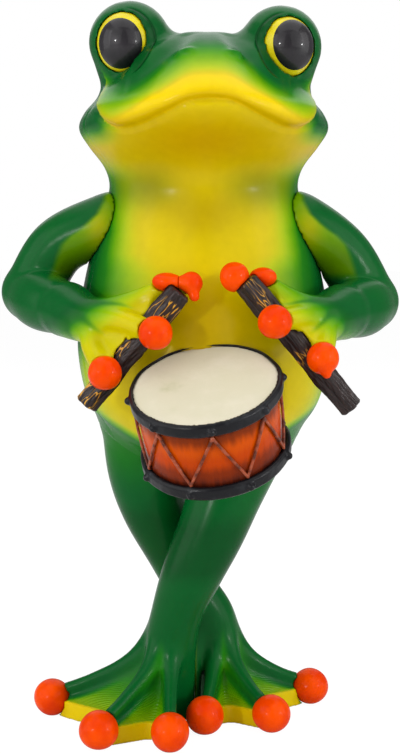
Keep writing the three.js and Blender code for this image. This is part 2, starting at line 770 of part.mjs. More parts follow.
const ground = solid(new THREE.BoxGeometry(400, 400, 60).translate(0, 0, -30));
legs.forEach(({ name, hip, leg, balls }, i) => {
  const group = groupAt(hip);
  const others = legs.slice(0, i).flatMap((other) => [other.leg.room, ...rooms(other.balls)]);
  const shape = cut(leg.body, bodyForm.room, ground, ...rooms(balls), ...others);
  addPart(group, `${name}_leg`, shape, greenSkin);
  for (const { toe, body } of balls) {
    addPart(group, `${name}_${toe}_toe_ball`, cut(body, ground, ...others), orangePaint);
  }
});

const drumGroup = groupAt(drumFoot, drumTurn);
const skinSeat = skinThickness + skinRecess;
const hugged = [bodyForm.room, ...legs.map(({ leg }) => leg.room)];
const drumParts = {
  drum_shell: [[disc(drumRadius, skinSeat + seam, drumHeight - skinSeat - seam)], drumOrange],
  drum_upper_skin: [[disc(skinRadius, drumHeight - skinSeat, drumHeight - skinRecess)], drumSkin],
  drum_lower_skin: [[disc(skinRadius, skinRecess, skinSeat)], drumSkin],
  drum_upper_hoop: [[hoop(drumHeight, 1), ...knobs(drumHeight - hoopHeight / 2, 0)], hoopBlack],
  drum_lower_hoop: [[hoop(0, -1), ...knobs(hoopHeight / 2, 0.5)], hoopBlack],
  drum_lacing: [[lacing()], lacingPaint],
};
for (const [name, [geometries, material]] of Object.entries(drumParts)) {
  addPart(drumGroup, name, cut(form(...geometries.map(inDrum)).body, ...hugged), material);
}

export default statue;
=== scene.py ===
import math

import bmesh
import bpy
import numpy as np
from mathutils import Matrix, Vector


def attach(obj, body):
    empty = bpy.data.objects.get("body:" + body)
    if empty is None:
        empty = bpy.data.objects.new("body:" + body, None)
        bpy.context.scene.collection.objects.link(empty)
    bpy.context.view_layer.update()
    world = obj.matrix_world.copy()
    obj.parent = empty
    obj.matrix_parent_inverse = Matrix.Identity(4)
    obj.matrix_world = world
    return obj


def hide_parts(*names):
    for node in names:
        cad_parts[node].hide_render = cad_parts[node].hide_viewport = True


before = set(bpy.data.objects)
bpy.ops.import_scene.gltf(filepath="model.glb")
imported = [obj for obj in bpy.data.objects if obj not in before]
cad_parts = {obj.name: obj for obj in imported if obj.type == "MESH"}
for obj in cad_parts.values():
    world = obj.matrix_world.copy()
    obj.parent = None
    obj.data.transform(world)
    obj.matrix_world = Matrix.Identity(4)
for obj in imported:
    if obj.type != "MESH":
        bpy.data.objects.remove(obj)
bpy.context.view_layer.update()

import openvdb as vdb

mm = 0.001
stand = np.array([1.5, 31.7, 0.0])

# Camera: a long lens a little above the middle of the statue, looking slightly down at it.
camera_back = 587.8
camera_height = 210
camera_pitch = 5.9
lens_length = 71.14
camera = bpy.data.objects.new("camera", bpy.data.cameras.new("camera"))
camera.data.lens = lens_length
camera.data.sensor_width = 36
camera.location = (0, -camera_back * mm, camera_height * mm)
camera.rotation_euler = (math.radians(90 - camera_pitch), 0, 0)
bpy.context.collection.objects.link(camera)
bpy.context.scene.camera = camera

# Studio: a pale floor that runs out of sight, a white room, and large soft lamps over and round the
# statue. Two small ones beside the camera put the bright points on the eyes and the balls.
bpy.context.scene.view_settings.view_transform = "Standard"
room_light = 0.27
full_white = (1, 1, 1, 1)
floor_grey, floor_roughness = (0.75, 0.75, 0.75, 1), 0.9
floor_glow = (1.1, 1.1, 1.1, 1)
floor_share = 0.87
floor_size = 6.0


def node(tree, kind, inputs=(), **settings):
    """A new node with the given settings and values or links for its inputs."""
    made = tree.nodes.new(kind)
    for label, value in settings.items():
        setattr(made, label, value)
    for label, value in dict(inputs).items():
        if isinstance(value, bpy.types.NodeSocket):
            tree.links.new(value, made.inputs[label])
        else:
            made.inputs[label].default_value = value
    return made


def math_node(tree, operation, first, second=0.0):
    """What a math operation gives for one or two values or links."""
    return node(tree, "ShaderNodeMath", {0: first, 1: second}, operation=operation).outputs[0]


def seen_white(tree, surface, white, share):
    """Mixes a plain white over a surface, by a share, for what the camera sees directly."""
    seen = node(tree, "ShaderNodeLightPath").outputs["Is Camera Ray"]
    part = math_node(tree, "MULTIPLY", seen, share)
    return node(tree, "ShaderNodeMixShader", {0: part, 1: surface, 2: white}).outputs[0]


world = bpy.data.worlds.new("room")
bpy.context.scene.world = world
world.use_nodes = True
tree = world.node_tree
soft_light = tree.nodes["Background"]
soft_light.inputs["Color"].default_value = full_white
soft_light.inputs["Strength"].default_value = room_light
white_room = node(tree, "ShaderNodeBackground", {"Color": full_white})
seen_room = seen_white(tree, soft_light.outputs[0], white_room.outputs[0], 1)
tree.links.new(seen_room, tree.nodes["World Output"].inputs["Surface"])

floor_paint = bpy.data.materials.new("pale_floor")
floor_paint.use_nodes = True
tree = floor_paint.node_tree
shader = tree.nodes["Principled BSDF"]
shader.inputs["Base Color"].default_value = floor_grey
shader.inputs["Roughness"].default_value = floor_roughness
glow = node(tree, "ShaderNodeEmission", {"Color": floor_glow})
seen_floor = seen_white(tree, shader.outputs[0], glow.outputs[0], floor_share)
tree.links.new(seen_floor, tree.nodes["Material Output"].inputs["Surface"])
floor_mesh = bpy.data.meshes.new("floor")
floor_corners = [(-1, -1, 0), (1, -1, 0), (1, 1, 0), (-1, 1, 0)]
floor_mesh.from_pydata(np.array(floor_corners) * floor_size, [], [(0, 1, 2, 3)])
floor = bpy.data.objects.new("floor", floor_mesh)
floor_mesh.materials.append(floor_paint)
bpy.context.collection.objects.link(floor)

# name, place and aim in metres, width and height in metres, watts
lamps = [
    ("right_point", (-0.62, -0.86, 0.32), (0, 0, 0.18), 0.08, 0.08, 2.4),
    ("left_point", (0.9, -0.6, 0.3), (0, 0, 0.18), 0.08, 0.08, 2.0),
    ("right_front", (-0.7, -0.85, 0.6), (0, 0, 0.16), 1.1, 1.1, 3.3),
    ("left_front", (0.7, -0.85, 0.6), (0, 0, 0.16), 1.1, 1.1, 3.3),
    ("top_lamp", (0, -0.1, 1.2), (0, 0, 0.2), 1.6, 1.3, 8),
    ("back_lamp", (0, 0.95, 1.0), (0, 0, 0.25), 1.5, 1.1, 5),
    ("right_lamp", (-1.0, -0.25, 0.36), (0, 0, 0.18), 0.7, 1.1, 4.1),
    ("left_lamp", (1.0, -0.25, 0.36), (0, 0, 0.18), 0.7, 1.1, 4.1),
]
for name, place, aim, width, height, power in lamps:
    light = bpy.data.lights.new(name, "AREA")
    light.shape = "RECTANGLE"
    light.size = width
    light.size_y = height
    light.energy = power
    lamp = bpy.data.objects.new(name, light)
    lamp.location = place
    lamp.rotation_euler = Vector(np.subtract(aim, place)).to_track_quat("-Z", "Y").to_euler()
    bpy.context.collection.objects.link(lamp)

# Body: the head and trunk are one casting of resin. Its outline is a stack of smooth rings, and the
# mounds of the eyes, the eyelids and the folds of the face are fused on with rounded fillets. Castings
# are worked out as fields on lattices, whose pitch is a step and which reach band_steps from a skin.
step = 0.8
body_step = 0.93
band_steps = 15
seam, seam_edge = 0.3, 0.2
belly_height, belly_half_width, belly_front = 157, 52.2, 50
neck_half_width = 38.8
body_outline = np.array([
    # height, half width, reach to the front, reach to the back
    (108, 0, 0, 0),
    (109.2, 12, 13, 11),
    (112.5, 23, 22, 18),
    (118, 32.5, 30, 25),
    (126, 41, 38, 31),
    (138, 48.5, 46, 35.6),
    (belly_height, belly_half_width, belly_front, 37),
    (175, 51.2, 47.4, 35),
    (193, 47.8, 42.5, 33),
    (209, 43.2, 37.6, 31),
    (219, 40, 35, 30),
    (226, neck_half_width, 35, 30),
    (233, 41, 38.5, 30.4),
    (241, 47, 46, 31.6),
    (248, 51, 53.5, 32.6),
    (254, 49, 58, 33),
    (261, 43.6, 57.6, 33),
    (269, 40.8, 51, 32),
    (277.2, 35.5, 41.5, 29),
    (282.3, 27, 30, 23),
    (285.4, 17, 17, 13),
    (286.2, 0, 0, 0),
])
end_round = 4
brow_pinch, brow_heights = 0.7, (254, 270.2)
# the line of the mouth and, past its ends, of the fold under the eye: degrees from the snout, height
mouth_line = np.array([
    (0, 256.3), (10, 255.2), (19, 251.6), (27, 248.6), (35, 246.7), (44, 246.5), (50.5, 248.5),
    (56.6, 251.6), (63.8, 255.4), (66.8, 257.6), (69.5, 260.2), (71.5, 263),
])
cheek_fold = np.array([(0, 298), (40, 279), (46, 272), (52, 268.4), (58, 266.4), (64, 265.2), (71.5, 263)])
face_turn = 3
mouth_end = mouth_line[-1, 0]
lip_proud, lip_height = 3.6, 15
lip_rise, lip_fall = 9, 1.2
groove_depth, groove_width = 1.9, 0.85
# the length of a degree on the face and past the mouth's end, and how much the fold leans
face_degree, end_degree, fold_lean = 0.75, 0.8, 1.2
# the groove under the fold is fainter towards the snout, and both grooves run out past the mouth's end
fold_groove, fold_groove_angles = 0.45, (40, 56)
groove_end_angles = (76, 70)


def smooth_at(points, t):
    """Points on the Catmull-Rom curve through the given ones, at shares t of the way from first to last:
    the curve passes each point in the direction from the one before to the one after."""
    p = np.asarray(points, float)
    p = p[:, None] if p.ndim == 1 else p
    p = np.vstack([2 * p[0] - p[1], p, 2 * p[-1] - p[-2]])
    t = np.asarray(t, float) * (len(p) - 3)
    i = np.clip(t.astype(int), 0, len(p) - 4)
    t = (t - i)[..., None]
    a, b, c, d = p[i], p[i + 1], p[i + 2], p[i + 3]
    square, cube = 2 * a - 5 * b + 4 * c - d, 3 * b - a - 3 * c + d
    return 0.5 * (2 * b + (c - a) * t + square * t**2 + cube * t**3)


def ease(low, high, x):
    """0 below low, 1 above high, and the smooth step 3t^2 - 2t^3 between. low may be the higher one."""
    t = np.clip((x - low) / (high - low), 0, 1)
    return t * t * (3 - 2 * t)


def bell(x, width):
    """1 in the middle, and to both sides the exponential of minus the square of x over the width."""
    return np.exp(-((x / width) ** 2))


def unit(v):
    """Vectors drawn to a length of one."""
    return v / np.linalg.norm(v, axis=-1, keepdims=True)


def woven(rings, joined=False):
    """The points and four-cornered faces of a skin over rings of points, rows by sides by 3. The last
    ring is joined to the first where the skin runs round a hole."""
    rows, sides = rings.shape[:2]
    row = sides * np.arange(rows if joined else rows - 1)[:, None]
    side = np.arange(sides)
    below, beside = (row + sides) % (rows * sides), np.roll(side, -1)
    faces = np.stack([row + side, row + beside, below + beside, below + side], axis=-1)
    return rings.reshape(-1, 3), faces.reshape(-1, 4)


def closed(rings):
    """A skin over rings that ends in a point in the middle of the first ring and of the last."""
    ends = rings[[0, -1]].mean(axis=1, keepdims=True) * np.ones_like(rings[:1])
    return woven(np.concatenate([ends[:1], rings, ends[1:]]))


def tube(path, radii, rows=64, sides=48):
    """A round tube along the smooth curve through path: every point is the middle line's, plus the
    radius there times cos(turn) and sin(turn) along two directions across it. Half balls close it."""
    t = np.linspace(0, 1, rows)
    centre = smooth_at(path, t)
    radius = smooth_at(radii, t)
    tangent = unit(np.gradient(centre, axis=0))
    bend = np.linspace(0, math.pi / 2, 9)[1:-1, None]
    cap = lambda end, way: (
        centre[end] + way * tangent[end] * radius[end] * np.sin(bend),
        tangent[end] * np.ones_like(bend),
        radius[end] * np.cos(bend),
    )
    middle = [centre, tangent, radius]
    stations = [np.concatenate([a[::-1], m, b]) for a, m, b in zip(cap(0, -1), middle, cap(-1, 1))]
    centre, tangent, radius = [s[:, None, :] for s in stations]
    across = unit(np.cross((0, 1, 0), tangent))
    over = np.cross(tangent, across)
    turn = np.linspace(0, 2 * math.pi, sides, endpoint=False)[None, :, None]
    return closed(centre + radius * (np.cos(turn) * across + np.sin(turn) * over))


def space(low, high, pitch=step):
    """The lattice that a casting is worked out on: its pitch, its lowest index and its size."""
    first = np.floor(np.array(low) / pitch).astype(int) - 3
    last = np.ceil(np.array(high) / pitch).astype(int) + 3
    return pitch, tuple(int(i) for i in first), tuple(int(i) for i in last - first)


def lattice(room):
    """The x, y and z of the lattice's planes, shaped so that they spread over it."""
    pitch, first, size = room
    return np.ix_(*[(f + np.arange(n)) * pitch for f, n in zip(first, size)])


def distance(skin, room):
    """How far every lattice point lies outside a closed skin, and below zero inside it."""
    pitch, first, size = room
    points, faces = skin
    level = vdb.FloatGrid.createLevelSetFromPolygons(
        points.astype(np.float32),
        quads=faces.astype(np.uint32),
        transform=vdb.createLinearTransform(pitch),
        halfWidth=band_steps,
    )
    field = np.empty(size, np.float32)
    level.copyToArray(field, ijk=first)
    return field


def carried(field, room, other):
    """A field of one lattice, read on another's points by linear interpolation along x, then y, then z."""
    pitch, first, size = room
    for axis, places in enumerate(lattice(other)):
        at = np.clip(places.ravel() / pitch - first[axis], 0, size[axis] - 1.001)
        low = at.astype(int)
        share = (at - low).reshape([-1 if k == axis else 1 for k in range(3)]).astype(np.float32)
        field = np.take(field, low, axis) * (1 - share) + np.take(field, low + 1, axis) * share
    return field


def melt(a, b, width):
    """The union of two fields with a fillet: the lesser one, less a quarter of the width where the two
    are equal, which falls off as the square of their difference."""
    near = np.maximum(width - np.abs(a - b), 0) / width
    return np.minimum(a, b) - near * near * width / 4


def carve(a, b, width=0.4):
    """What is left of a outside b, with the new edge rounded in the same way."""
    return -melt(-a, b, width)


def clear(a, b):
    """What is left of a when b and a seam round it are cut away."""
    return carve(a, b - seam, seam_edge)


def skin_of(field, room, rounds=4):
    """The skin where a field is zero. Each point then moves half way to the mean of its neighbours and
    a little more than that back out, round by round, which takes the lattice's steps out of it."""
    pitch, first, size = room
    level = vdb.FloatGrid(band_steps * pitch)
    level.transform = vdb.createLinearTransform(pitch)
    level.copyFromArray(np.ascontiguousarray(field, dtype=np.float32), ijk=first)
    points, faces = level.convertToQuads(0)
    points = points.astype(float)
    near = np.concatenate([faces, np.roll(faces, -1, axis=1)]).ravel()
    far = np.concatenate([np.roll(faces, -1, axis=1), faces]).ravel()
    count = np.bincount(near, minlength=len(points))[:, None]
    for i in range(rounds):
        for share in (0.5, -0.52):
            total = [np.bincount(near, points[far, k], len(points)) for k in range(3)]
            points += share * (np.stack(total, axis=1) / count - points)
    return points, faces


def piece(name, skin, material, slot, cad_node, **attributes):
    """A finished piece: the mesh of a skin, moved to the shared frame, with its paint's attributes."""
    points, faces = skin
    mesh = bpy.data.meshes.new(name)
    mesh.from_pydata((points + stand) * mm, [], faces.tolist())
    for label, values in attributes.items():
        mesh.attributes.new(label, "FLOAT", "POINT").data.foreach_set("value", values.astype(np.float32))
    made = bmesh.new()
    made.from_mesh(mesh)
    bmesh.ops.remove_doubles(made, verts=made.verts, dist=0.002 * mm)
    bmesh.ops.recalc_face_normals(made, faces=made.faces)
    made.to_mesh(mesh)
    made.free()
    mesh.shade_smooth()
    mesh.materials.append(material)
    thing = bpy.data.objects.new(name, mesh)
    bpy.context.collection.objects.link(thing)
    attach(thing, "root")
    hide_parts(cad_node)


outline_table = smooth_at(body_outline, np.linspace(0, 1, 801))


def outline(height):
    """Half width, reach to the front and reach to the back of the trunk at a height."""
    return [np.interp(height, outline_table[:, 0], outline_table[:, k]) for k in (1, 2, 3)]


def on_line(line, angle):
    """The height of a line on the face at an angle from the snout, smooth between its rows."""
    table = smooth_at(line, np.linspace(0, 1, 201))
    return np.interp(angle, table[:, 0], table[:, 1])


def lip_relief(angle, height):
    """How far the face stands out. Above the mouth line and under the fold it is a roll, which rises fast
    from its edge and dies away over the lip's height, and along the edge itself runs a groove."""
    line = on_line(mouth_line, angle)
    slope = np.gradient(mouth_line[:, 1], mouth_line[:, 0])
    level = np.sqrt(1 + (np.interp(angle, mouth_line[:, 0], slope) / face_degree) ** 2)
    above = (height - line) / level
    below = (on_line(cheek_fold, angle) - height) / fold_lean
    inside = np.minimum(above, below)
    inside = np.where(angle > mouth_end, (mouth_end - angle) * end_degree, inside)
    share = np.clip(inside / lip_height, 0, 1)
    roll = lip_proud * (1 - np.exp(-lip_rise * share)) * (1 - share) ** lip_fall
    fold = np.where(above < below, 1, fold_groove * ease(*fold_groove_angles, angle))
    groove = groove_depth * fold * bell(inside, groove_width) * ease(*groove_end_angles, angle)
    return roll - groove


def trunk(rows=300, sides=360):
    """The trunk: at each height a ring, half an ellipse at the back and in front an ellipse that is
    pinched towards the snout above the mouth, with the relief of the lip added all round."""
    low, high = body_outline[0, 0], body_outline[-1, 0]
    bend = np.linspace(0.05, math.pi / 2, 16)
    height = np.concatenate([
        low + end_round * (1 - np.cos(bend)),
        np.linspace(low + end_round, high - end_round, rows)[1:-1],
        high - end_round * (1 - np.cos(bend[::-1])),
    ])[:, None]
    turn = np.linspace(0, 2 * math.pi, sides, endpoint=False)[None, :]
    half_width, front, back = outline(height)
    ahead = np.cos(turn)
    pinch = brow_pinch * ease(*brow_heights, height)
    depth = np.where(ahead > 0, front * np.abs(ahead) ** pinch, back)
    face = np.degrees(np.arccos(np.cos(turn - math.radians(face_turn))))
    relief = lip_relief(face, height)
    x = (half_width + relief) * np.sin(turn)
    y = -(depth + relief) * ahead
    return closed(np.stack([x, y, height + 0 * turn], axis=-1))


# one for each eye: side, distance from the middle, height
eye_plans = {"right": (-1, 29.4, 281.6), "left": (1, 30.6, 279.8)}
mound_ahead = 14
mound_radius, mound_foot_radius = 16.3, 13.8
mound_foot = (3, 5, -18)
# the fillet round a mound is wider towards the crown: its widths, and from where to where it widens
mound_fillet, crown_fillet = 3.5, 6
crown_sides, crown_fronts = (36, 24), (-34, -22)
eyelid_radius, eyelid_ahead = 15.5, 1.9
lid_fillet, socket_edge = 0.9, 0.5
gaze_out, gaze_down, gaze_lean = 13, 6, 5
crease_radius = 13.4


def gaze(side, spread, height):
    """The middle of an eye's mound, and the directions aside, up and ahead of its gaze. The eye leans
    towards the other one, so its aside and up are turned about the gaze."""
    out, down, lean = math.radians(side * gaze_out), math.radians(gaze_down), math.radians(side * gaze_lean)
    ahead = np.array([math.sin(out) * math.cos(down), -math.cos(out) * math.cos(down), -math.sin(down)])
    aside = unit(np.cross((0, 0, 1), ahead))
    over = np.cross(ahead, aside)
    turned_aside = math.cos(lean) * aside + math.sin(lean) * over
    turned_over = math.cos(lean) * over - math.sin(lean) * aside
    return np.array([side * spread, -mound_ahead, height]), turned_aside, turned_over, ahead


def oval(plan, radius, depth, forward, aside=0, up=0, narrow=0.9, rows=96, sides=128):
    """An egg that looks along an eye's gaze: a ball, narrowed across and flattened along the gaze."""
    mound, across, over, ahead = gaze(*plan)
    bend = np.linspace(0, math.pi, rows)[1:-1, None, None]
    turn = np.linspace(0, 2 * math.pi, sides, endpoint=False)[None, :, None]
    centre = mound + forward * ahead + plan[0] * aside * across + up * over
    ring = radius * np.sin(bend) * (narrow * np.cos(turn) * across + np.sin(turn) * over)
    return closed(centre + ring + depth * np.cos(bend) * ahead)


# the middle line of each leg, from inside the hip down to the ankle
leg_paths = {
    "left": [
        (20, -1, 124), (10, -9, 101), (3, -12, 83), (-4.6, -12, 66), (-11, -8.5, 48), (-13.8, -5, 32),
        (-13.6, -1, 6),
    ],
    "right": [
        (-25, 3, 126), (-25, 6, 106), (-21, 9.5, 89), (-12, 11.5, 70), (-4.2, 12, 52), (4, 13.5, 36),
        (7, 17, 6),
    ],
}
leg_radii = [18, 15.6, 14, 12.6, 10.8, 10.8, 9.6]
hip_fillet, hip_collar, hip_lap, lap_sink = 6, 1.6, 1.2, 0.15

body_room = space((-56, -64, 98), (56, 40, 300), body_step)
x, y = lattice(body_room)[:2]
trunk_field = distance(trunk(), body_room)
body_field = trunk_field
for leg_path in leg_paths.values():
    body_field = melt(body_field, distance(tube(leg_path, leg_radii, 120, 64), body_room), hip_fillet)
body_field = np.maximum(body_field, trunk_field - hip_collar)
eyeball_radius, eyeball_depth, eyeball_ahead = 11.7, 9, 9.6
for plan in eye_plans.values():
    mound, across, over, ahead = gaze(*plan)
    foot = mound + (-plan[0] * mound_foot[0], *mound_foot[1:])
    widening = ease(*crown_sides, plan[0] * x) * ease(*crown_fronts, y)
    fillet = mound_fillet + (crown_fillet - mound_fillet) * widening
    swelling = tube([foot, mound], [mound_foot_radius, mound_radius])
    body_field = melt(body_field, distance(swelling, body_room), fillet)
    lid = oval(plan, eyelid_radius, eyelid_radius, eyelid_ahead, narrow=1)
    body_field = melt(body_field, distance(lid, body_room), lid_fillet)
    socket = oval(plan, eyeball_radius + seam, eyeball_depth + seam, eyeball_ahead)
    body_field = carve(body_field, distance(socket, body_room), socket_edge)

# the valley beside the crown, which runs down between the snout and each eye
valleys = [
    [
        (-8, -27, 285.4), (-10.6, -35, 282.9), (-13.8, -40.6, 279.8), (-18.6, -43.2, 276),
        (-25.6, -44.6, 270.6), (-33, -41, 268.4),
    ],
    [
        (11, -25, 285.6), (13.2, -32.4, 283.1), (16.4, -38.8, 279.7), (21, -41.6, 275.8),
        (27.6, -43.1, 270.6), (34.4, -39, 268.2),
    ],
]
valley_radii = [1.5, 3.4, 4.2, 4.4, 4, 1.5]
valley_edge = 6
for valley in valleys:
    body_field = carve(body_field, distance(tube(valley, valley_radii), body_room), valley_edge)

# nostrils: a small rim with a pit in it
nostrils = {-1: (-6.7, -44.2, 274), 1: (11.2, -42.8, 273.6)}
nostril_rim_radii, nostril_rim_fillet = [1.7, 1.7], 3
nostril_pit_radii, nostril_pit_edge = [0.8, 0.6], 0.9
for side, nostril in nostrils.items():
    nostril = np.array(nostril)
    rim = tube([nostril + (-1.4, 1, -0.2), nostril + (1.4, 1, 0.2)], nostril_rim_radii)
    body_field = melt(body_field, distance(rim, body_room), nostril_rim_fillet)
    pit = tube([nostril + (-side * 0.5, -1, 0.4), nostril + (side * 0.8, -0.6, 0.6)], nostril_pit_radii)
    body_field = carve(body_field, distance(pit, body_room), nostril_pit_edge)

body_skin = skin_of(body_field, body_room)

# Paint of the frog: lacquer airbrushed from deep green through lime to yellow. The share of yellow comes
# from the piece's own attribute, ochre is laid over the yellow in the throat, where it is also painted
# shade under the chin, and between the hands, and a painted shade darkens the paint under the jaw, on
# the chest, where arms and legs meet other parts and between the fingers. The crease round an eyelid is
# scribed into the lacquer as a fine step, with painted shade in its groove.
green_ramp = [
    (0.0, (0.0008, 0.09, 0.015)),
    (0.2, (0.012, 0.17, 0.004)),
    (0.35, (0.07, 0.27, 0)),
    (0.5, (0.16, 0.35, 0)),
    (0.65, (0.28, 0.43, 0)),
    (0.78, (0.43, 0.48, 0)),
    (0.9, (0.59, 0.47, 0)),
    (1.0, (0.76, 0.55, 0)),
]
ochre = (0.46, 0.26, 0)
crease_width = 0.42
# how much the paint darkens on the lid's side of the crease, and the painted shade in the groove itself
lid_shade, groove_shade = 0.28, 0.3


def new_paint(name, roughness, specular, coat=0.0, coat_roughness=0.1):
    """A new material, its tree, its shader and the place on the piece that its patterns read."""
    material = bpy.data.materials.new(name)
    material.use_nodes = True
    tree = material.node_tree
    shader = tree.nodes["Principled BSDF"]
    shader.inputs["Roughness"].default_value = roughness
    shader.inputs["Specular IOR Level"].default_value = specular
    shader.inputs["Coat Weight"].default_value = coat
    shader.inputs["Coat Roughness"].default_value = coat_roughness
    place = node(tree, "ShaderNodeTexCoord").outputs["Object"]
    return material, tree, shader, place


def ramp(tree, share, stops, kind="EASE"):
    """A colour ramp through the given stops, read at a share from 0 to 1."""
    made = node(tree, "ShaderNodeValToRGB", {"Fac": share})
    band = made.color_ramp
    band.interpolation = kind
    while len(band.elements) < len(stops):
        band.elements.new(1)
    for element, (at, colour) in zip(band.elements, stops):
        element.position = at
        element.color = (*colour, 1)
    return made.outputs["Color"]


def mixed(tree, share, first, second, blend="MIX"):
    """Two colours, mixed by a share or by another way of blending."""
    made = node(tree, "ShaderNodeMix", data_type="RGBA", blend_type=blend)
    for socket, value in (("Factor", share), ("A", first), ("B", second)):
        target = [s for s in made.inputs if s.name == socket and s.enabled][0]
        if isinstance(value, bpy.types.NodeSocket):
            tree.links.new(value, target)
        else:
            target.default_value = value if socket == "Factor" else (*value, 1)
    return [s for s in made.outputs if s.enabled][0]


def noise(tree, place, scale, detail=3.0, rough=0.5):
    """A soft noise from 0 to 1 with a scale of spots to the metre, finer the more detail it has."""
    settings = {"Vector": place, "Scale": scale, "Detail": detail, "Roughness": rough}
    return node(tree, "ShaderNodeTexNoise", settings).outputs["Fac"]


def attribute(tree, name):
    """One of the attributes that the piece carries at its points."""
    return node(tree, "ShaderNodeAttribute", attribute_name=name).outputs["Fac"]


def spread(tree, **factors):
    """A place to read patterns at: its x and y are two attributes of the piece, each times a factor."""
    parts = [math_node(tree, "MULTIPLY", attribute(tree, name), factor) for name, factor in factors.items()]
    return node(tree, "ShaderNodeCombineXYZ", dict(enumerate(parts))).outputs[0]


def bumped(tree, height, strength, reach, under=None):
    """The surface's direction with bumps of a reach in metres, over other bumps where there are any."""
    inputs = {"Height": height, "Strength": strength, "Distance": reach}
    if under:
        inputs["Normal"] = under
    return node(tree, "ShaderNodeBump", inputs).outputs[0]


def mottled(name, finish, grain, stops, bumps=None):
    """A paint whose colour wanders through a ramp's stops with a noise, and with fine bumps where they
    are given: their noise, strength and reach."""
    material, tree, shader, place = new_paint(name, *finish)
    tree.links.new(ramp(tree, noise(tree, place, *grain), stops), shader.inputs["Base Color"])
    if bumps:
        grain, strength, reach = bumps
        tree.links.new(bumped(tree, noise(tree, place, *grain), strength, reach), shader.inputs["Normal"])
    return material


frog_paint, tree, shader, place = new_paint("frog_lacquer", 0.26, 0.11)
cloud = noise(tree, place, 28)
wander = math_node(tree, "MULTIPLY", math_node(tree, "SUBTRACT", cloud, 0.5), 0.12)
yellow = math_node(tree, "ADD", attribute(tree, "yellow"), wander)
colour = ramp(tree, yellow, green_ramp, "LINEAR")
colour = mixed(tree, attribute(tree, "ochre"), colour, ochre)
speck = noise(tree, place, 260, 2)
depth = math_node(tree, "ADD", math_node(tree, "MULTIPLY", speck, 0.14), 0.93)
across_crease = attribute(tree, "crease")
lid_step = {"Value": across_crease, "From Min": 0.3, "From Max": -0.3}
lid_side = node(tree, "ShaderNodeMapRange", lid_step).outputs[0]
lid_side = math_node(tree, "MULTIPLY", lid_side, attribute(tree, "creased"))
groove = math_node(tree, "POWER", math_node(tree, "DIVIDE", across_crease, crease_width), 2)
groove = math_node(tree, "EXPONENT", math_node(tree, "MULTIPLY", groove, -1))
groove = math_node(tree, "MULTIPLY", groove, attribute(tree, "creased"))
# painted shade: the piece's own shade attribute, plus a darker band on the lid's side of the crease and
# painted shade in the crease's groove
shade = math_node(tree, "ADD", attribute(tree, "shade"), math_node(tree, "MULTIPLY", lid_side, lid_shade))
shade = math_node(tree, "ADD", shade, math_node(tree, "MULTIPLY", groove, groove_shade))
depth = math_node(tree, "MULTIPLY", depth, math_node(tree, "SUBTRACT", 1.0, shade))
grey = node(tree, "ShaderNodeCombineColor", {0: depth, 1: depth, 2: depth}).outputs[0]
tree.links.new(mixed(tree, 1.0, colour, grey, "MULTIPLY"), shader.inputs["Base Color"])
lumps = bumped(tree, noise(tree, place, 90, 2), 0.35, 0.0005)
waves = math_node(tree, "SINE", attribute(tree, "lines"))
lines = math_node(tree, "MULTIPLY", waves, attribute(tree, "lined"))
scribed = math_node(tree, "MULTIPLY", math_node(tree, "ADD", lid_side, groove), -0.5)
drawn = bumped(tree, lines, 0.5, 0.0003, lumps)
tree.links.new(bumped(tree, scribed, 1.0, 0.0009, drawn), shader.inputs["Normal"])

# where the green begins on the trunk: height, share of the half width, reach of the fade in millimetres
green_edge = np.array([
    (104, 1.02, 7), (130, 1.08, 7), (141, 1.12, 7), (152, 1.08, 7), (165, 0.98, 9), (176, 0.9, 12),
    (184, 0.87, 15), (190, 0.87, 13), (198, 0.875, 7.4), (207, 0.885, 6.3), (214, 0.93, 6.2),
    (222, 1, 7.5), (229, 1.06, 8), (237, 1.3, 8), (244, 1.6, 8), (262, 1.6, 8),
])
# between these heights the trunk is round enough to measure turns about it
trunk_heights = 126, 284
# the share of yellow deep inside the edge and on the edge itself, and how soon it dies away outside
belly_yellow, edge_yellow, outside_reach = 0.92, 0.12, 2
# the belly's yellow ends below at a height that rises with the distance from the middle, and a little
# of it comes back between two heights on the inner sides of the thighs
yellow_bottom, yellow_slope, yellow_soft = 110, 0.52, 3.5
thigh_yellow, thigh_heights, thigh_top, thigh_sides = 0.13, (96, 122), (140, 128), (1.3, 0.9)
# the yellow on the lip: degrees from the snout, height above the mouth line where it begins to fade
lip_edge = np.array([
    (0, 11.4), (8, 11.8), (16, 12), (28, 10.8), (35, 8), (44, 4.4), (50, 2.2), (56, 0), (62, -2.4), (90, -4),
])
lip_above, lip_fade = 13.5, 16.5
# the green corner of the jaw: heights and angles from the snout over which it sets in
corner_heights, corner_angles = (239, 249), (41, 60)
# soft patches: strength, half width, height and half height
# the throat's patch is ochre, and also painted shade under the chin
throat_patch = 0.8, 36, 241, 11
# the chest's patch is painted shade in the hollow under the throat, with a little ochre
chest_patch = 1, 15, 214, 11
hands_patch = 0.4, 19, 166, 19
# the olive band of the neck, which is also painted shade under the jaw: height, half height, half width of
# its gap, and its sides, where the painted shade is darker
neck_height, neck_reach, neck_gap = 224, 8.5, 15
neck_side, neck_side_reach = 19, 10
# what the band takes from the yellow, and the painted shade of the band and of the chest's patch
olive_loss, olive_shade, chest_shade = 0.14, 0.5, 0.26
# the ochre line over the mouth: strength, height above the mouth line and reach
fold_ochre, fold_above, fold_reach = 0.5, 1.2, 2.6
chest_ochre, olive_ochre, most_ochre = 0.25, 0.15, 0.85
# the scribed crease: how far across it its places are told apart, where it fades to the sides and to the
# back of the mound, and the turns from inwards between which it fades in and out
crease_reach, crease_fade, crease_outs = 7, (5.5, 4), (2, 5)
crease_start, crease_stop = (-62, -42), (92, 70)


def about_trunk(points):
    """The trunk's half width at the height of each point, and the point's turn from straight ahead."""
    half_width, front, back = outline(np.clip(points[:, 2], *trunk_heights))
    return half_width, np.arctan2(points[:, 0] / half_width, -points[:, 1] / front)


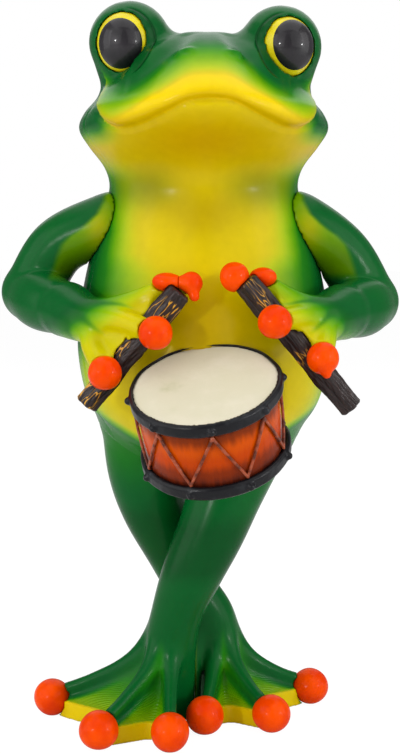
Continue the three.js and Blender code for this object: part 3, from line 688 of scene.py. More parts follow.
def trunk_yellow(points):
    """Share of yellow on the trunk and on the tops of the legs. Inwards from the green's edge it is the
    full one less an exponential of minus the 1.5th power of the way over the fade's reach. Outwards the
    edge's own yellow falls exponentially."""
    px, py, pz = points.T
    half_width, turn = about_trunk(points)
    turn = np.abs(turn)
    across = np.where(turn < math.pi / 2, np.sin(turn), 2 - np.sin(turn))
    edge, reach = [np.interp(pz, green_edge[:, 0], green_edge[:, k]) for k in (1, 2)]
    inward = half_width * (edge - across)
    lost = (belly_yellow - edge_yellow) * np.exp(-((np.maximum(inward, 0) / reach) ** 1.5))
    outside = edge_yellow * np.exp(np.minimum(inward, 0) / outside_reach)
    fade = np.where(inward > 0, belly_yellow - lost, outside)
    belly = fade * ease(-yellow_soft, yellow_soft, pz - yellow_bottom - yellow_slope * np.abs(px))
    thigh = thigh_yellow * ease(*thigh_heights, pz) * ease(*thigh_top, pz) * ease(*thigh_sides, across)
    return np.maximum(belly, thigh)


def patch(points, strength, wide, height, tall):
    """A soft patch on the middle line: its strength times a bell across and a bell up and down."""
    return strength * bell(points[:, 0], wide) * bell(points[:, 2] - height, tall)


def body_colours(points):
    """Shares of yellow, ochre and shade on the body, and how far each place lies across an eye's crease."""
    px, py, pz = points.T
    turn = np.degrees(about_trunk(points)[1])
    face = np.abs(turn - face_turn * ease(226, 246, pz))
    above = pz - on_line(mouth_line, np.minimum(face, mouth_end))
    corner = ease(*corner_heights, pz) * ease(*corner_angles, face)
    lip = np.clip((lip_above - above + np.interp(face, *lip_edge.T)) / lip_fade, 0, 1) ** 1.15
    on_lip = (above > 0) & (face < mouth_end)
    # the neck's band under the jaw: olive, and painted shade that is deepest at its sides
    neck = bell(pz - neck_height, neck_reach) * (1 - bell(px, neck_gap)) * ease(100, 60, np.abs(turn))
    olive_and_shade = neck * (0.6 + 0.4 * bell(np.abs(px) - neck_side, neck_side_reach))
    yellow = np.where(on_lip, lip, trunk_yellow(points) * (1 - corner) * (1 - olive_loss * olive_and_shade))
    throat, hands = patch(points, *throat_patch), patch(points, *hands_patch)
    chest = patch(points, *chest_patch) * (np.abs(turn) < 90)
    fold = fold_ochre * bell(above - fold_above, fold_reach) * (face < mouth_end)
    laid_over = throat + hands + chest_ochre * chest + olive_ochre * olive_and_shade
    laid_over = laid_over * np.where(on_lip, 0, 1)
    ochre = np.maximum(laid_over * ease(0.2, 0.6, yellow), fold * yellow)
    crease, creased = np.full_like(px, 2 * crease_reach), np.zeros_like(px)
    for plan in eye_plans.values():
        mound, aside, over, ahead = gaze(*plan)
        inner, up, out = [(points - mound) @ axis for axis in (-plan[0] * aside, over, ahead)]
        away, round_eye = np.hypot(inner, up) - crease_radius, np.degrees(np.arctan2(up, inner))
        near = ease(*crease_outs, out) * ease(*crease_fade, np.abs(away))
        near = near * ease(*crease_start, round_eye) * ease(*crease_stop, round_eye)
        crease = np.where(np.abs(away) < crease_reach, away, crease)
        creased = np.maximum(creased, near)
    # painted shade under the jaw on the neck, and in the chest's patch under the throat
    shade = olive_shade * olive_and_shade + chest_shade * chest
    ochre = np.clip(ochre, 0, most_ochre)
    return {"yellow": yellow, "ochre": ochre, "crease": crease, "creased": creased, "shade": shade}


piece("body_casting", body_skin, frog_paint, "green_skin", "body", **body_colours(body_skin[0]))

# Eyes: an egg of resin in each socket, painted yellow, with a black dome glued to its front.
pupil_radius, pupil_depth, pupil_ahead = 10.16, 7, 12.6
# how far each pupil sits from the middle of its egg: outwards and up
pupil_shifts = {"right": (-0.1, -0.2), "left": (0.6, 0.4)}
eye_stops = [(0.3, (0.62, 0.5, 0.004)), (0.7, (0.74, 0.63, 0.008))]
pupil_stops = [(0.3, (0.004, 0.003, 0.005)), (0.75, (0.012, 0.009, 0.013))]
eye_paint = mottled("eye_yellow", (0.25, 0.3), (120,), eye_stops)
pupil_paint = mottled("pupil_black", (0.42, 0.3, 0.3, 0.03), (160,), pupil_stops)
for side, plan in eye_plans.items():
    eyeball = oval(plan, eyeball_radius, eyeball_depth, eyeball_ahead)
    piece(f"{side}_eye_egg", eyeball, eye_paint, "eye_yellow", f"{side}_eyeball")
    pupil = oval(plan, pupil_radius, pupil_depth, pupil_ahead, *pupil_shifts[side])
    piece(f"{side}_pupil_dome", pupil, pupil_paint, "pupil_black", f"{side}_pupil")

# Twigs: the drumsticks are cast as bark-covered twigs, dark brown with strokes of gold in the cracks.
# Places in a hand are measured from its hub, where the fingers meet: outwards, ahead and up.
# each hub: its side, how far it is out from the belly's width and ahead of its front, and its height
hand_hubs = {"right": (-1, -7.4, -9, 172.6), "left": (1, -5.6, -8, 173.2)}
# each twig: its foot and its tip, as places in the hand, and the radius at either end
twig_plans = {
    "right": ((0.4, 13, -31.5), (-35.8, 17, 11.6), (4.2, 4.5)),
    "left": ((9.8, 12, -33.8), (-31, 16, 14.8), (4.1, 4.6)),
}
# where each twig's knots are, as a share of its length and a turn round it, and their reach and height
twig_knots, knot_reach, knot_height = ((0.27, 1.9), (0.71, 5.0)), 2.6, 0.9
# how much a sawn end is rounded off, and how far along the twig that reaches
sawn_drop, sawn_reach = 0.7, 0.45
bark_stops = [(0.3, (0.008, 0.005, 0.005)), (0.55, (0.022, 0.012, 0.011)), (0.8, (0.06, 0.032, 0.028))]
gold, black, white = (0.62, 0.3, 0.02), (0, 0, 0), (1, 1, 1)


def in_hand(side, place):
    """A place in the statue's frame, from one that is measured out, ahead and up from a hand's hub."""
    way, out, ahead, up = hand_hubs[side]
    aside = way * (belly_half_width + out + place[0])
    return np.array([aside, -(belly_front + ahead + place[1]), up + place[2]])


def twig(side, rows=220, sides=120):
    """A twig: a straight tube whose radius has wandering ridges, fine bark grooves, two knots and ends
    that are sawn off with a small round edge."""
    foot, tip, (low, high) = twig_plans[side]
    foot, tip = in_hand(side, foot), in_hand(side, tip)
    along = unit(tip - foot)
    across = unit(np.cross((0, 1, 0), along))
    over = np.cross(along, across)
    length = np.linalg.norm(tip - foot)
    t = np.linspace(0, 1, rows)[:, None]
    turn = np.linspace(0, 2 * math.pi, sides, endpoint=False)[None, :]
    wander = 0.5 * np.sin(7 * t) + 0.35 * np.sin(17 * t + 1)
    radius = low + (high - low) * t + 0.25 * np.sin(9 * t) + 0.12 * np.sin(23 * t + 2)
    radius = radius + 0.42 * np.cos(5 * turn + 3 * t + wander)
    grooves = np.cos(11 * turn + 5 * wander + 9 * t) * np.cos(3 * turn + 19 * t)
    fine = np.cos(23 * turn - 31 * t + 4 * wander) * np.cos(7 * turn + 41 * t)
    radius = radius + 0.2 * grooves + 0.1 * fine
    for at, facing in twig_knots:
        away = ((t - at) * length / knot_reach) ** 2 + (2.2 * np.sin((turn - facing) / 2)) ** 2
        radius = radius + knot_height * np.exp(-away)
    end = np.minimum(t, 1 - t) * length
    radius = radius - sawn_drop * bell(end, sawn_reach)
    centre = foot + t[..., None] * (tip - foot)
    ring = np.cos(turn)[..., None] * across + np.sin(turn)[..., None] * over
    points, faces = closed(centre + radius[..., None] * ring)
    lengthwise = np.repeat(np.concatenate([[0], t[:, 0], [1]]) * length, sides)
    round_it = np.tile(turn[0] * (low + high) / 2, rows + 2)
    return (points, faces), {"along": lengthwise, "round": round_it}


bark_paint, tree, shader, place = new_paint("twig_bark", 0.36, 0.3)
streak = noise(tree, spread(tree, along=0.12, round=1), 1.3, 4)
wave = noise(tree, spread(tree, along=0.05, round=0.26), 1.7, 1.5)
wave = math_node(tree, "ABSOLUTE", math_node(tree, "SUBTRACT", wave, 0.5))
vein = ramp(tree, wave, [(0, white), (0.014, white), (0.024, black)], "LINEAR")
stretch = ramp(tree, noise(tree, place, 38, 1), [(0.57, black), (0.6, white)], "LINEAR")
stroke = node(tree, "ShaderNodeRGBToBW", {0: mixed(tree, 1.0, vein, stretch, "MULTIPLY")}).outputs[0]
colour = mixed(tree, stroke, ramp(tree, streak, bark_stops), gold)
tree.links.new(colour, shader.inputs["Base Color"])
tree.links.new(bumped(tree, streak, 0.6, 0.0004), shader.inputs["Normal"])
twig_skins = {}
for side in twig_plans:
    twig_skins[side], twig_lines = twig(side)
    piece(f"{side}_bark_twig", twig_skins[side], bark_paint, "twig_bark", f"{side}_drumstick", **twig_lines)

# Arms: each is one casting, with the shoulder seated against the trunk and a webbed hand whose four
# fingers close round the twig. The fingers end in balls, which are castings of their own.
arm_plans = {
    "right": {"elbow": (19.3, 0, 181.6), "bulge": (3.8, 0, 4.6)},
    "left": {"elbow": (16.5, 0, 177.6), "bulge": (2.6, 0, 3.4)},
}
# each finger: the places that it runs through, the radius of its ball and how flat the ball is
finger_plans = {
    "right": {
        "little": ([(-2.5, 11, -10.5), (-7.6, 22, -18.6)], 6.4, 1),
        "ring": ([(-13.6, 14, 0.6), (-26.7, 24, -3.4)], 6.4, 1),
        "fore": ([(-13.4, 6, 5), (-23, 9, 9.8), (-30.6, 14, 15.3)], 4.8, 0.74),
        "thumb": ([(-15, 4.5, 2.4), (-30, 7.5, 8.9), (-40, 15, 14.9)], 4.3, 1),
    },
    "left": {
        "little": ([(-0.2, 11, -7.2), (-2, 21, -13.6)], 6.1, 1),
        "ring": ([(-10.6, 14, 1.4), (-20.2, 24, 0.2)], 6.4, 1),
        "fore": ([(-10, 5, 5.2), (-16.8, 8, 10), (-24.2, 11, 16.4)], 4.7, 0.8),
        "thumb": ([(-12, 4, 3), (-25, 7, 10.8), (-35.1, 15, 16.6)], 5.7, 1),
    },
}
shoulder_height, shoulder_ahead = 209.6, 7.6
shoulder_radius, elbow_radius, forearm_radius, wrist_radius, hand_radius = 12.2, 12, 12.2, 9.4, 6.8
upper_radii = [shoulder_radius - 1, shoulder_radius, shoulder_radius - 0.2, elbow_radius]
lower_radii = [elbow_radius, forearm_radius, wrist_radius, hand_radius - 1]
finger_radius, finger_end = 4.2, 0.62
elbow_fillet, finger_fillet, web_fillet = 1.6, 5, 2.2
# shares of the way from the elbow to the hub: the forearm's fullest place, the wrist, the fingers' start
forearm_share, wrist_share, finger_share = 0.33, 0.72, 0.66
# the webs of a hand: the fingers to both sides, how far out along them it reaches, and its edge's sag
hand_webs = [("little", "ring", 1, 0.12), ("ring", "fore", 0.9, 0.02), ("fore", "thumb", 0.6, 0.1)]
web_thickness, web_hollow = 2.6, 2.6
# drips of paint that hang from a ball: aside, ahead and up of its middle, and the drip's radius
drips = {("right", "thumb"): (1.2, 2, -5.1, 1.9), ("left", "little"): (1.4, 2.5, -6.2, 1.3)}
drip_fillet = 2.4
# balls that run together, and half of the gap that stays between the two castings
twins = {("right", "fore"): "thumb", ("right", "thumb"): "fore"}
twin_fillet, twin_gap = 3, 0.06
finger_ball_step = 0.45
ball_margin = 1.4
orange_stops = [(0.3, (0.72, 0.038, 0)), (0.7, (0.86, 0.07, 0))]
# the olive inner side of the upper arm, which lower down is also painted shade where it faces the trunk:
# height, and how far out from the middle it reaches there
facet_edge = np.array([
    (188, 62), (197, 59), (201.5, 57), (205, 53.5), (207, 50.4), (209.5, 47), (213.6, 42.5), (219, 40),
])


def web(first, second, span, sag, rows=24, columns=24):
    """A sheet of skin between two fingers' middle lines: straight across from one to the other but sunk
    back by a half sine, its free edge drawn in by the sag, and half its thickness out on each side."""
    across = np.linspace(0, 1, columns)[:, None]
    along = np.linspace(0.02, 1, rows)[None, :] * (span - sag * np.sin(math.pi * across))
    middle = smooth_at(first, along) * (1 - across[..., None]) + smooth_at(second, along) * across[..., None]
    middle[..., 1] += web_hollow * np.sin(math.pi * across)
    facing = unit(np.cross(np.gradient(middle, axis=1), np.gradient(middle, axis=0)))
    sides = [middle + way * facing * web_thickness / 2 for way in (1, -1)]
    return closed(np.concatenate([sides[0], sides[1][:, ::-1]], axis=1))


def ball(centre, radius, flat=1.0, rows=48, sides=64):
    """A hand-dipped ball: a sphere that may be flattened from above, uneven by a few hundredths."""
    bend = np.linspace(0, math.pi, rows)[1:-1, None, None]
    turn = np.linspace(0, 2 * math.pi, sides, endpoint=False)[None, :, None]
    wide = radius / math.sqrt(flat)
    uneven = 1 + 0.018 * np.sin(bend) ** 2 * np.sin(2 * turn + centre[0])
    uneven = uneven + 0.012 * np.sin(3 * bend + centre[0])
    points = np.concatenate([
        wide * np.sin(bend) * np.cos(turn),
        radius * np.sin(bend) * np.sin(turn),
        radius * flat * np.cos(bend) + 0 * turn,
    ], axis=-1)
    return closed(centre + uneven * points)


orange_paint = mottled("orange_lacquer", (0.2, 0.07), (110,), orange_stops, ((170, 2), 0.5, 0.0006))


# the yellow of a hand and what its valleys lose, that of the arm's inner side, and more where it is warm
hand_yellow, valley_loss, facet_yellow, warm_yellow = 0.86, 0.4, 0.34, 0.22


def arm_colours(side, points, fingers):
    """Yellow grows across the hand, inwards and down, but green stays in the valleys between the fingers'
    roots, with painted shade in them. The inner side of the upper arm is olive, and warmer next to the
    trunk; lower down it is darkened with painted shade where it faces the trunk."""
    px, py, pz = points.T
    out = px * hand_hubs[side][0]
    hub = in_hand(side, (0, 0, 0))
    reach = 0.62 * (abs(hub[0]) - out) + 0.78 * (hub[2] - pz)
    spans = []
    for line in fingers.values():
        places = smooth_at(line, np.linspace(0.25, 1, 28))
        spans.append(np.linalg.norm(points[:, None, :] - places, axis=2).min(axis=1))
    first, second = np.sort(spans, axis=0)[:2]
    valley = bell(second - first, 1.3) * ease(-12, -3, reach) * ease(9, 0, reach)
    hand = ease(-9, 8, reach) * ease(-14, -30, py)
    facet = ease(1.6, -1.6, out - np.interp(pz, *facet_edge.T)) * ease(186, 191, pz)
    facet = facet * ease(0, -5, py) * ease(-42, -34, py)
    warm = facet * bell(out - 42, 5) * bell(pz - 208, 8)
    on_hand = hand_yellow * hand * (1 - valley_loss * valley)
    yellow = np.maximum(on_hand, facet_yellow * facet + warm_yellow * warm)
    # painted shade on the lower inner side of the upper arm, where it faces the trunk, and in the hand's
    # valleys
    shade = 0.35 * facet * ease(210, 194, pz) + 0.2 * valley
    return {"yellow": yellow, "ochre": 0.12 * facet + 0.3 * warm, "shade": shade}


for side, plan in arm_plans.items():
    way = hand_hubs[side][0]
    elbow = np.array([way * (belly_half_width + plan["elbow"][0]), 0, plan["elbow"][2]])
    bulge = np.array([way * plan["bulge"][0], 0, plan["bulge"][2]])
    shoulder = np.array([way * (neck_half_width + 1.2), -shoulder_ahead, shoulder_height])
    hub = in_hand(side, (0, 0, 0))
    # the lattice holds the shoulder, the elbow and the hand, whose fingers point to the middle
    low = np.minimum.reduce([elbow - 15, hub + (-42 * (way > 0) - 16, -33, -30), shoulder - 14])
    high = np.maximum.reduce([elbow + 15, hub + (42 * (way < 0) + 16, 12, 26), shoulder + 18])
    arm_room = space(low, high)
    upper = [shoulder + (-8 * way, 2, 3), shoulder, (elbow + shoulder) / 2 + bulge, elbow]
    reach = hub - elbow
    fullest = elbow + reach * forearm_share + (1.6 * way, 0, -0.4)
    lower = [elbow, fullest, elbow + reach * wrist_share, hub]
    field = distance(tube(upper, upper_radii), arm_room)
    field = melt(field, distance(tube(lower, lower_radii), arm_room), elbow_fillet)
    fingers, dips = {}, {}
    start = elbow + reach * finger_share
    for name, (places, radius, flat) in finger_plans[side].items():
        fingers[name] = [start, hub, *[in_hand(side, place) for place in places]]
        dips[name] = ball(fingers[name][-1], radius, flat)
        widths = [wrist_radius - 1.5, hand_radius - 0.8, finger_radius, radius * flat * finger_end]
        field = melt(field, distance(tube(fingers[name], widths, 40, 32), arm_room), finger_fillet)
    for first, second, span, sag in hand_webs:
        sheet = web(fingers[first], fingers[second], span, sag)
        field = melt(field, distance(sheet, arm_room), web_fillet)
    field = carve(field, distance(twig_skins[side], arm_room) - seam)
    field = clear(field, carried(body_field, body_room, arm_room))
    for name, (places, radius, flat) in finger_plans[side].items():
        middle = fingers[name][-1]
        field = clear(field, distance(dips[name], arm_room))
        ball_room = space(middle - radius * ball_margin, middle + radius * ball_margin, finger_ball_step)
        ball_field = distance(dips[name], ball_room)
        if (side, name) in drips:
            aside, ahead, up, size = drips[side, name]
            drip = ball(middle + (aside, -ahead, up), size)
            ball_field = melt(ball_field, distance(drip, ball_room), drip_fillet)
        if (side, name) in twins:
            other = fingers[twins[side, name]][-1]
            ball_field = melt(ball_field, distance(dips[twins[side, name]], ball_room), twin_fillet)
            off = np.stack(np.broadcast_arrays(*lattice(ball_room)), axis=-1) - (middle + other) / 2
            past_half = (off @ unit(other - middle)).astype(np.float32)
            ball_field = np.maximum(ball_field, past_half + twin_gap)
        ball_field = clear(ball_field, distance(twig_skins[side], ball_room))
        ball_field = clear(ball_field, carried(body_field, body_room, ball_room))
        skin = skin_of(ball_field, ball_room)
        piece(f"{side}_{name}_ball", skin, orange_paint, "orange_paint", f"{side}_{name}_finger_ball")
    skin = skin_of(field, arm_room)
    colours = arm_colours(side, skin[0], fingers)
    piece(f"{side}_arm_casting", skin, frog_paint, "green_skin", f"{side}_arm", **colours)

# Legs: two castings that cross, the left one in front, so that the left foot stands on the frog's right.
# A foot is solid down to the ground: three toes run out as ridges, with webs drawn in between them.
toe_ball_radius, ball_sole = 7.9, 0.5
toe_ball_step = 0.5
# how far the lattices reach: past a leg's places, in front of them, up a leg, and round a toe ball
leg_margin, front_margin, leg_top, toe_margin = 24, 12, 142, 9
web_edge_height, web_sags = 7.6, (13.5, 16.5)
# along each toe's ridge: shares of the way from the hub to the ball, and its radii there
toe_shares, toe_radii = (0, 0.3, 0.64, 1), (5.4, 3.7, 2.6, 2.6)
# the ridges' heights there as shares of the instep's, and how far over the ball's middle they end
toe_heights, toe_end = (0.96, 0.57, 0.36), 1.5
web_dip, below_ground = 1.6, -4
fan_fillet, toe_fillet, flange_fillet = 7, 3, 4
line_pitch = 1.05
# the yellow of a web at its root, what it gains outwards, and that of its rim and of the flange
root_yellow, web_gain, rim_yellow, flange_yellow = 0.2, 0.4, 0.95, 0.4
# for each leg the hub of its foot, the height of its instep and the middles of its toe balls
leg_plans = {
    "left": {
        "hub": (-13.6, -5),
        "instep": 46,
        "toes": {"inner": (-13.5, -41.3), "middle": (-42.2, -38.5), "outer": (-65, 3.6)},
    },
    "right": {
        "hub": (6.2, 13.5),
        "instep": 40,
        "toes": {"inner": (0.5, -20.6), "middle": (28.1, -18.4), "outer": (46.9, 18.9)},
    },
}


def foot_polar(plan, x, y):
    """Distance from the foot's hub, and the turn from straight ahead."""
    aside, back = x - plan["hub"][0], y - plan["hub"][1]
    return np.hypot(aside, back), np.arctan2(aside, -back)


def web_edge(plan, turn):
    """How far the free edge of the webs lies from the hub: even from toe to toe, less half a sine of a
    sag. Also how many toes it has passed there, and the toes' own turns."""
    turns, spans = np.array(sorted(foot_polar(plan, *toe)[::-1] for toe in plan["toes"].values())).T
    sags = web_sags if plan["hub"][0] > 0 else web_sags[::-1]
    share = np.interp(turn, turns, [0, 1, 2])
    sag = np.where(share < 1, sags[0], sags[1]) * np.sin(math.pi * (share % 1))
    return np.interp(turn, turns, spans) - sag, share, turns


def foot_fan(plan, rows=40, columns=121):
    """The fan of a foot: at each turn from toe to toe a slice that stands on the ground, whose top falls
    from the instep to the edge of the web as the 1.6th power of what is left of the way."""
    turns = web_edge(plan, 0.0)[2]
    turn = np.linspace(turns[0], turns[-1], columns)[:, None]
    edge, share, turns = web_edge(plan, turn)
    out = np.linspace(0.08, 1, rows)[None, :]
    x = plan["hub"][0] + out * edge * np.sin(turn)
    y = plan["hub"][1] - out * edge * np.cos(turn)
    dip = web_dip * np.sin(math.pi * (share % 1)) * np.sin(math.pi * out) ** 0.8
    top = web_edge_height + (plan["instep"] - web_edge_height) * (1 - out) ** 1.6 - dip
    upper = np.stack([x, y, top], axis=-1)
    lower = np.stack([x, y, below_ground + 0 * x], axis=-1)
    return closed(np.concatenate([upper, lower[:, ::-1]], axis=1))


def grounded(field, room):
    """The skin of a field that stands on the ground: points that came out below it are set on it."""
    points, faces = skin_of(field, room)
    points[:, 2] = np.maximum(points[:, 2], 0)
    return points, faces


def leg_colours(plan, points):
    """Green, but yellow on the web's edge, and lime on the webs between the toes, with fine lines that
    follow the free edge. Painted shade darkens the legs where they cross and the flange between the feet.
    The lines' attribute is a phase that grows by a full turn each line pitch."""
    px, py, pz = points.T
    span, turn = foot_polar(plan, px, py)
    edge, share, turns = web_edge(plan, np.clip(turn, *web_edge(plan, 0.0)[2][[0, -1]]))
    inside = (turn > turns[0]) & (turn < turns[-1])
    from_toe = np.abs(share - np.round(share)) * span * 0.9
    bare = inside * ease(2.4, 5, from_toe) * ease(0.3, 0.55, span / edge) * ease(40, 30, pz)
    rim = inside * ease(3.2, 0.8, edge - span) * ease(1.8, 3.6, from_toe) * ease(10, 7.5, pz)
    web_yellow = bare * (root_yellow + web_gain * ease(0.45, 1, span / edge))
    flange = ease(-2.5, -4.5, px) * (plan["hub"][0] > 0) * ease(56, 46, pz)
    yellow = [web_yellow, rim_yellow * rim, flange_yellow * flange, trunk_yellow(points)]
    yellow = np.maximum.reduce(yellow)
    # painted shade where the legs cross behind the knee, and on the flange between the feet
    shade = np.maximum(0.3 * ease(96, 84, pz) * ease(60, 70, pz), 0.3 * flange)
    lines = 2 * math.pi * (edge - span) / line_pitch
    lined = bare * ease(0.5, 0.7, span / edge)
    return {"yellow": yellow, "ochre": 0.3 * flange, "shade": shade, "lines": lines, "lined": lined}


leg_fields = []
# the cast is filled in between the two feet, behind the left one: a path and its radii
inner_flange = [(0, 9, 50), (-3.5, 6, 34), (-5.5, 3, 14), (-5.5, 0, 4)], [3, 4.2, 4.5, 4.5]
for side, plan in leg_plans.items():
    toes = list(plan["toes"].values())
    xs, ys = zip(*toes, plan["hub"], *[place[:2] for place in leg_paths[side]])
    low = min(xs) - leg_margin, min(ys) - front_margin, 0
    leg_room = space(low, (max(xs) + leg_margin, max(ys) + leg_margin, leg_top))
    field = distance(tube(leg_paths[side], leg_radii, 120, 64), leg_room)
    field = melt(field, distance(foot_fan(plan), leg_room), fan_fillet)
    if side == "right":
        field = melt(field, distance(tube(*inner_flange), leg_room), flange_fillet)
    others = [carried(*near, leg_room) for near in leg_fields]
    ball_height = toe_ball_radius - ball_sole
    heights = [plan["instep"] * share for share in toe_heights] + [ball_height + toe_end]
    for toe in toes:
        bone = [
            np.append(plan["hub"] + np.subtract(toe, plan["hub"]) * share, height)
            for share, height in zip(toe_shares, heights)
        ]
        field = melt(field, distance(tube(bone, toe_radii, 48, 32), leg_room), toe_fillet)
    for toe, place in plan["toes"].items():
        centre = np.array([*place, ball_height])
        dipped = ball(centre, toe_ball_radius)
        field = clear(field, distance(dipped, leg_room))
        ball_room = space(centre - toe_margin, centre + toe_margin, toe_ball_step)
        ball_field = np.maximum(distance(dipped, ball_room), -lattice(ball_room)[2])
        for near in leg_fields:
            ball_field = clear(ball_field, carried(*near, ball_room))
        leg_fields.append((ball_field, ball_room))
        skin = grounded(ball_field, ball_room)
        piece(f"{side}_{toe}_ball", skin, orange_paint, "orange_paint", f"{side}_{toe}_toe_ball")
    for other in others:
        field = clear(field, other)
    trunk_near = carried(trunk_field, body_room, leg_room)
    field = melt(field, trunk_near, hip_fillet) + lap_sink * ease(hip_collar + 1.2, hip_collar, trunk_near)
    field = np.maximum(field, hip_collar - hip_lap - trunk_near)
    field = np.maximum(field, -lattice(leg_room)[2])
    leg_fields.append((field, leg_room))
    skin = grounded(field, leg_room)
    colours = leg_colours(plan, skin[0])
    piece(f"{side}_leg_casting", skin, frog_paint, "green_skin", f"{side}_leg", **colours)

# Drum: a turned shell with a skin at each end, held by two hoops with knobs and a zigzag lacing.
# Its own frame stands on the middle of the lower rim, with +Z up its axis, and leans on the belly.
drum_radius, drum_height = 26.4, 33
hoop_height, hoop_thickness = 5.4, 2.3
skin_thickness, skin_recess = 1.6, 0.7
head_play, head_edge, hoop_edge = 1.2, 0.4, 0.9
head_wobble, hoop_wobble = 0.12, 0.16
drum_tilt, drum_roll = math.radians(26), math.radians(8.8)
drum_bite, drum_head_height = 1.2, 151.4
hoop_knobs, laced_knobs = 8, 5
knob_radii = [1.9, 1.5]
lacing_radius, lacing_fillet = 0.6, 0.3
hoop_step, lacing_step = 0.4, 0.28
rim_radius = drum_radius + hoop_thickness
touch = outline(drum_head_height + rim_radius * math.sin(drum_tilt))[1]
drum_head = np.array([0.2, -(touch + rim_radius * math.cos(drum_tilt) - drum_bite), drum_head_height])
drum_up = np.array([
    -math.sin(drum_roll) * math.cos(drum_tilt),
    -math.sin(drum_tilt),
    math.cos(drum_roll) * math.cos(drum_tilt),
])
drum_aside = np.array([math.cos(drum_roll), 0, math.sin(drum_roll)])
drum_back = np.cross(drum_up, drum_aside)
drum_foot = drum_head - drum_height * drum_up


def in_drum(points):
    """From the drum's own frame to the statue's."""
    return drum_foot + points[..., :1] * drum_aside + points[..., 1:2] * drum_back + points[..., 2:] * drum_up


def turned(profile, wobble=0.0, sides=192):
    """A profile of radius and height carried round the drum's axis, with a slight uneven wobble."""
    profile = np.array(profile, float)[:, None, :]
    turn = np.linspace(0, 2 * math.pi, sides, endpoint=False)[None, :]
    uneven = wobble * (np.sin(3 * turn + 1) + 0.6 * np.sin(7 * turn + 2) + 0.4 * np.sin(13 * turn))
    radius = profile[..., 0] + uneven * (profile[..., 0] > 1)
    return np.stack([radius * np.cos(turn), radius * np.sin(turn), profile[..., 1] + 0.5 * uneven], axis=-1)


def knob_turn(knob):
    """How far a knob is turned about the drum's axis: evenly, from the one in front."""
    return -math.pi / 2 + 2 * math.pi * knob / hoop_knobs


def drum_part(name, skins, material, slot, cad_node, pitch=0.55, fillet=0.6, cuts=()):
    """A piece of the drum: its skins fused, and cut clear of the belly and legs that it leans on."""
    points = np.concatenate([skin[0] for skin in skins])
    room = space(points.min(axis=0) - 1, points.max(axis=0) + 1, pitch * (1))
    field = distance(skins[0], room)
    for skin in skins[1:]:
        field = melt(field, distance(skin, room), fillet)
    for near in ((body_field, body_room), *leg_fields):
        field = clear(field, carried(*near, room))
    for cut in cuts:
        field = clear(field, distance(cut, room))
    made = skin_of(field, room)
    inner_x, inner_y, up = ((made[0] - drum_foot) @ np.stack([drum_aside, drum_back, drum_up], axis=1)).T
    piece(name, made, material, slot, cad_node, up=up, turn=np.arctan2(inner_y, inner_x))


# the shell's sunburst from foot to head, and the stops of the other paints
burst = [
    (0.12, (0.03, 0.006, 0.004)), (0.3, (0.2, 0.022, 0.002)), (0.46, (0.48, 0.048, 0)),
    (0.6, (0.56, 0.07, 0)), (0.76, (0.2, 0.026, 0.002)), (0.9, (0.03, 0.009, 0.007)),
]
hoop_stops = [(0.5, (0.006, 0.006, 0.008)), (0.64, (0.014, 0.015, 0.018)), (0.84, (0.08, 0.09, 0.11))]
stain_stops = [(0.3, (0.68, 0.64, 0.51)), (0.55, (0.62, 0.59, 0.44)), (0.75, (0.48, 0.48, 0.29))]
cord_stops = [(0.35, (0.09, 0.016, 0.006)), (0.6, (0.32, 0.06, 0.02)), (0.8, (0.55, 0.2, 0.12))]
hoop_paint = mottled("hoop_black", (0.3, 0.2), (150, 4, 0.65), hoop_stops, ((260, 3), 0.5, 0.0005))
skin_paint = mottled("drum_skin_cream", (0.5, 0.3), (38, 4, 0.6), stain_stops, ((320, 3), 0.3, 0.0003))
lacing_paint = mottled("lacing_cord", (0.35, 0.3), (330, 3), cord_stops)
shell_paint, tree, shader, place = new_paint("drum_sunburst", 0.22, 0.06, 0.04, 0.1)
rise = math_node(tree, "DIVIDE", attribute(tree, "up"), drum_height)
streaks = spread(tree, turn=9.0, up=0.035)
sway = math_node(tree, "MULTIPLY", math_node(tree, "SUBTRACT", noise(tree, streaks, 1.6, 4), 0.5), 0.16)
rise = math_node(tree, "ADD", rise, sway)
tree.links.new(ramp(tree, rise, burst), shader.inputs["Base Color"])
tree.links.new(bumped(tree, noise(tree, streaks, 3, 3), 0.3, 0.0004), shader.inputs["Normal"])

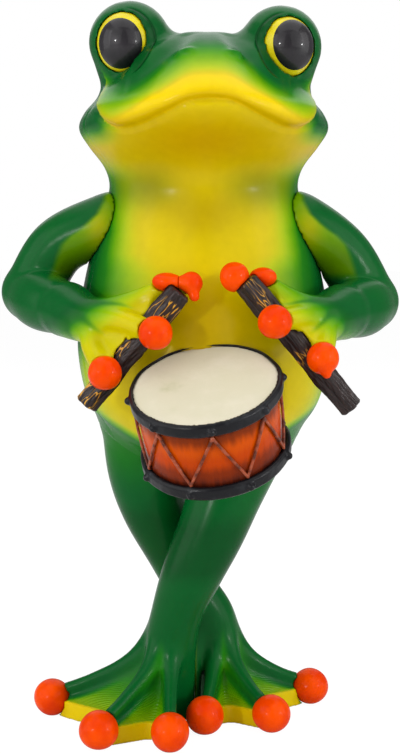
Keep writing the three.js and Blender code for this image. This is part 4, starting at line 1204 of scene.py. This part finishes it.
seat = skin_thickness + skin_recess
shell = turned([(drum_radius, up) for up in (seat + seam, drum_height / 2, drum_height - seat - seam)])
drum_part("drum_shell_wood", [closed(in_drum(shell))], shell_paint, "drum_orange", "drum_shell")
head_radius = rim_radius - head_play
discs = {}
for end, low in (("upper", drum_height - seat), ("lower", skin_recess)):
    high = low + skin_thickness
    disc = turned([
        (head_radius - head_edge, low), (head_radius, low + head_edge),
        (head_radius, high - head_edge), (head_radius - head_edge, high),
    ], head_wobble)
    discs[end] = closed(in_drum(disc))
    drum_part(f"drum_{end}_head", [discs[end]], skin_paint, "drum_skin", f"drum_{end}_skin")
inner, outer = drum_radius + seam, rim_radius - hoop_edge
for end, low, shift in (("upper", drum_height - hoop_height, 0), ("lower", 0, 0.5)):
    high = low + hoop_height
    band = turned([
        (inner, low), (outer, low), (rim_radius, low + hoop_edge),
        (rim_radius, high - hoop_edge), (outer, high), (inner, high),
    ], hoop_wobble)
    skins = [woven(in_drum(band), joined=True)]
    for knob in range(hoop_knobs):
        turn = knob_turn(knob + shift)
        out = np.array([math.cos(turn), math.sin(turn), 0])
        centre = out * (rim_radius - 0.3) + (0, 0, low + hoop_height / 2)
        skins.append(tube(in_drum(np.stack([centre - out * 0.4, centre + out * 0.5])), knob_radii, 8, 24))
    hoop = f"drum_{end}_hoop"
    drum_part(f"drum_{end}_band", skins, hoop_paint, "hoop_black", hoop, hoop_step, cuts=[discs[end]])

cord_radius = drum_radius + seam + lacing_radius
cord_low, cord_high = hoop_height + seam + lacing_radius, drum_height - hoop_height - seam - lacing_radius
run = np.linspace(0, 2 * laced_knobs, 2 * laced_knobs + 1)
cord_turn = knob_turn(run / 2 - laced_knobs / 2)
cord_ups = np.where(run % 2 == 0, cord_low, cord_high)
corners = np.stack([cord_radius * np.cos(cord_turn), cord_radius * np.sin(cord_turn), cord_ups], axis=-1)
strands = []
for start, end in zip(corners[:-1], corners[1:]):
    t = np.linspace(0, 1, 9)[:, None]
    line = start + (end - start) * t
    line[:, :2] *= cord_radius / np.linalg.norm(line[:, :2], axis=1, keepdims=True)
    strands.append(tube(in_drum(line), [lacing_radius, lacing_radius], 24, 16))
lacing = "drum_lacing"
drum_part("drum_lacing_cord", strands, lacing_paint, "lacing_paint", lacing, lacing_step, lacing_fillet)
